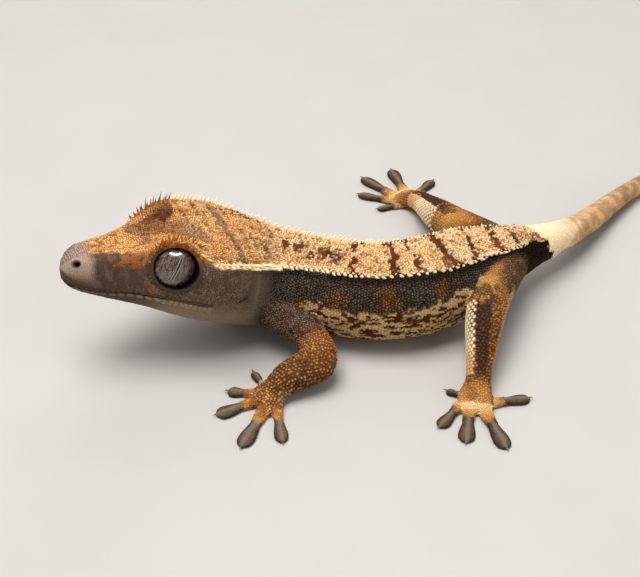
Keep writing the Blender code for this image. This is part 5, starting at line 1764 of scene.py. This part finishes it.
def outward_faces(obj):
    work = bmesh.new()
    work.from_mesh(obj.data)
    bmesh.ops.recalc_face_normals(work, faces=work.faces)
    work.to_mesh(obj.data)
    work.free()


def finish_skin(mesh, points, places, material):
    """Colours the skin and puts it in place of the solids' flesh."""
    normals = vertex_normals(mesh)
    ground, tops = paint(places, normals)
    # The skin under the scales shows mostly the colour between them, with its painted shade.
    shown = mixed(ground, tops, 0.12)
    facing = facing_eyes(normals)
    broken = contrast(noise(points, 0.45, 103, 2), 0.5, 0.1)
    upper = mixed(mixed(RUST, ORANGE, 0.3), DARK_BROWN, 0.2 + 0.5 * broken)
    for side in (1, -1):
        out, reach, middle, _ = eye_reach(points, side)
        above = (points - middle) @ HEAD_UP + 0.1 * ((points - middle) @ HEAD_BACK)
        lid = mixed(mixed(SLATE, GREY_BROWN, 0.65), upper, smooth_step(1.8, 3.2, above))
        ring = round_eye(out, facing[side]) * smooth_step(0.50, 0.32, np.abs(reach - LID_RING - 0.02))
        shown = mixed(shown, lid, ring)
    # Painted shade in the mouth's line, nostrils, ears and round the eyes.
    shown = mixed(shown, HOLLOW_SHADE, dark_places(places, points, normals))
    mesh.name = "skin"
    set_colours(mesh, shown)
    mesh.transform(Matrix.Scale(MM, 4))
    move_vertices(mesh, coordinates(mesh) + SHIFT)
    mesh.shade_smooth()
    skin = linked("skin", mesh)
    dress(skin, material, "body_skin")
    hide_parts(*[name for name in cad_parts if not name.startswith("eye")])


def add_lamp(name, place, way, size, energy):
    """A square light whose back is turned the given way."""
    light = bpy.data.lights.new(name, "AREA")
    light.size = size
    light.energy = energy
    lamp = linked(name, light)
    lamp.location = place
    lamp.rotation_euler = Vector(way).to_track_quat("Z", "Y").to_euler()
    return lamp


def floor_and_light():
    """A pale floor, a dim even surround, and three soft lights that don't show in wet surfaces."""
    bpy.ops.mesh.primitive_plane_add(size=3.0, location=(0, 0, -0.00004))
    floor = bpy.context.active_object
    floor.name = "floor"
    material, tree, shader = new_material("pale_floor", Roughness=0.8)
    place = node(tree, "ShaderNodeTexCoord").outputs["Object"]
    pale = ramp_between(tree, noise_output(tree, place, 60.0, 4.0), (190, 188, 184), (198, 196, 192))
    tree.links.new(pale, shader.inputs["Base Color"])
    floor.data.materials.append(material)
    lights = (
        ("key", (-0.11, -0.04, 0.43), 0.28, 2.2, (1.0, 0.97, 0.93)),
        ("fill", (0.35, -0.25, 0.25), 0.35, 0.5, (0.93, 0.96, 1.0)),
        ("back", (0.05, 0.40, 0.30), 0.30, 0.8, (1.0, 0.98, 0.95)),
    )
    for name, place, size, watts, tint in lights:
        lamp = add_lamp(name, place, place, size, watts)
        lamp.data.color = tint
        lamp.visible_glossy = False
    world = bpy.data.worlds.new("studio")
    world.use_nodes = True
    world.node_tree.nodes["Background"].inputs[0].default_value = (0.96, 0.97, 1.0, 1)
    world.node_tree.nodes["Background"].inputs[1].default_value = 0.25
    bpy.context.scene.world = world
    bpy.context.scene.view_settings.view_transform = "Standard"


# The camera, from the photo: it looks along +Y and down, from 180 mm away.
CAMERA_ELEVATION = 37.0
CAMERA_DISTANCE = 180.0
CAMERA_TARGET = (0.0, 3.8, 6.0)
CAMERA_LENS = 67.84
CAMERA_SENSOR = 36.0


def place_camera():
    camera = bpy.data.cameras.new("camera")
    camera.lens = CAMERA_LENS
    camera.sensor_width = CAMERA_SENSOR
    camera.sensor_fit = "HORIZONTAL"
    camera.clip_start = 0.01
    seat = linked("camera", camera)
    elevation = math.radians(CAMERA_ELEVATION)
    forward = Vector((0, math.cos(elevation), -math.sin(elevation)))
    target = Vector(np.array(CAMERA_TARGET) * MM + SHIFT)
    seat.location = target - forward * CAMERA_DISTANCE * MM
    seat.rotation_euler = forward.to_track_quat("-Z", "Y").to_euler()
    bpy.context.scene.camera = seat
    return seat


# The catch light: a curved row of small lights, by where each shows on the left eye, in the photo's pixels
# right of and above the eye's middle, their distance in millimetres and their radiance.
CATCH_PLACES = ((-4.6, 13.0), (-3.1, 12.0), (-1.2, 11.4), (0.8, 11.2), (2.8, 11.4), (4.6, 12.0), (6.0, 12.8))
CATCH_DISTANCE = 150.0
CATCH_SIZE = 26.0
CATCH_RADIANCE = 32.0
PIXELS_ACROSS = 640


def catch_lights(camera):
    """Small lights that only show in wet surfaces, each placed where the eye mirrors it to the camera."""
    eye = np.array(camera.location)
    middle, look, _, _ = eye_axes(1)
    basis = np.array(camera.rotation_euler.to_matrix())
    right, up = basis[:, 0], basis[:, 1]
    at = (eye - SHIFT) / MM
    away = np.linalg.norm(middle - at)
    pixel = away * CAMERA_SENSOR / CAMERA_LENS / PIXELS_ACROSS
    stretch = np.eye(3) / EYE_RADIUS**2 + np.outer(look, look) * (1 / EYE_DEPTH**2 - 1 / EYE_RADIUS**2)
    for number, (across, above) in enumerate(CATCH_PLACES):
        ray = unit(middle + pixel * (across * right + above * up) - at)
        start = at - middle
        a, b, c = ray @ stretch @ ray, start @ stretch @ ray, start @ stretch @ start - 1
        hit = at + (-b - math.sqrt(max(b * b - a * c, 0.0))) / a * ray
        normal = unit(stretch @ (hit - middle))
        way = ray - 2 * (ray @ normal) * normal
        energy = CATCH_RADIANCE * math.pi * math.pi * (CATCH_SIZE * MM / 2) ** 2
        place = (hit + CATCH_DISTANCE * way) * MM + SHIFT
        lamp = add_lamp(f"catch_{number}", place, way, CATCH_SIZE * MM, energy)
        lamp.data.shape = "DISK"
        lamp.visible_diffuse = False
        lamp.visible_camera = False


def tree_from(mesh, points):
    polygons = [tuple(p.vertices) for p in mesh.polygons]
    return BVHTree.FromPolygons([Vector(p) for p in points], polygons)


def build():
    materials = {
        "skin": skin_material("gecko_skin", 0.58, 5200.0, 0.00003, 0.04),
        "scale": skin_material("gecko_scale", 0.50, 7000.0, 0.000015, 0.06),
    }
    mesh, points, places = build_skin()
    tree = tree_from(mesh, points)
    finish_skin(mesh, points, places, materials["skin"])
    build_scales(tree, materials)
    crest_rows(tree, materials["scale"])
    lash_rows(materials["scale"])
    lip_scales(tree, materials["scale"])
    shank_scales(tree, materials["scale"])
    build_claws()
    build_eyes()
    floor_and_light()
    catch_lights(place_camera())


build()
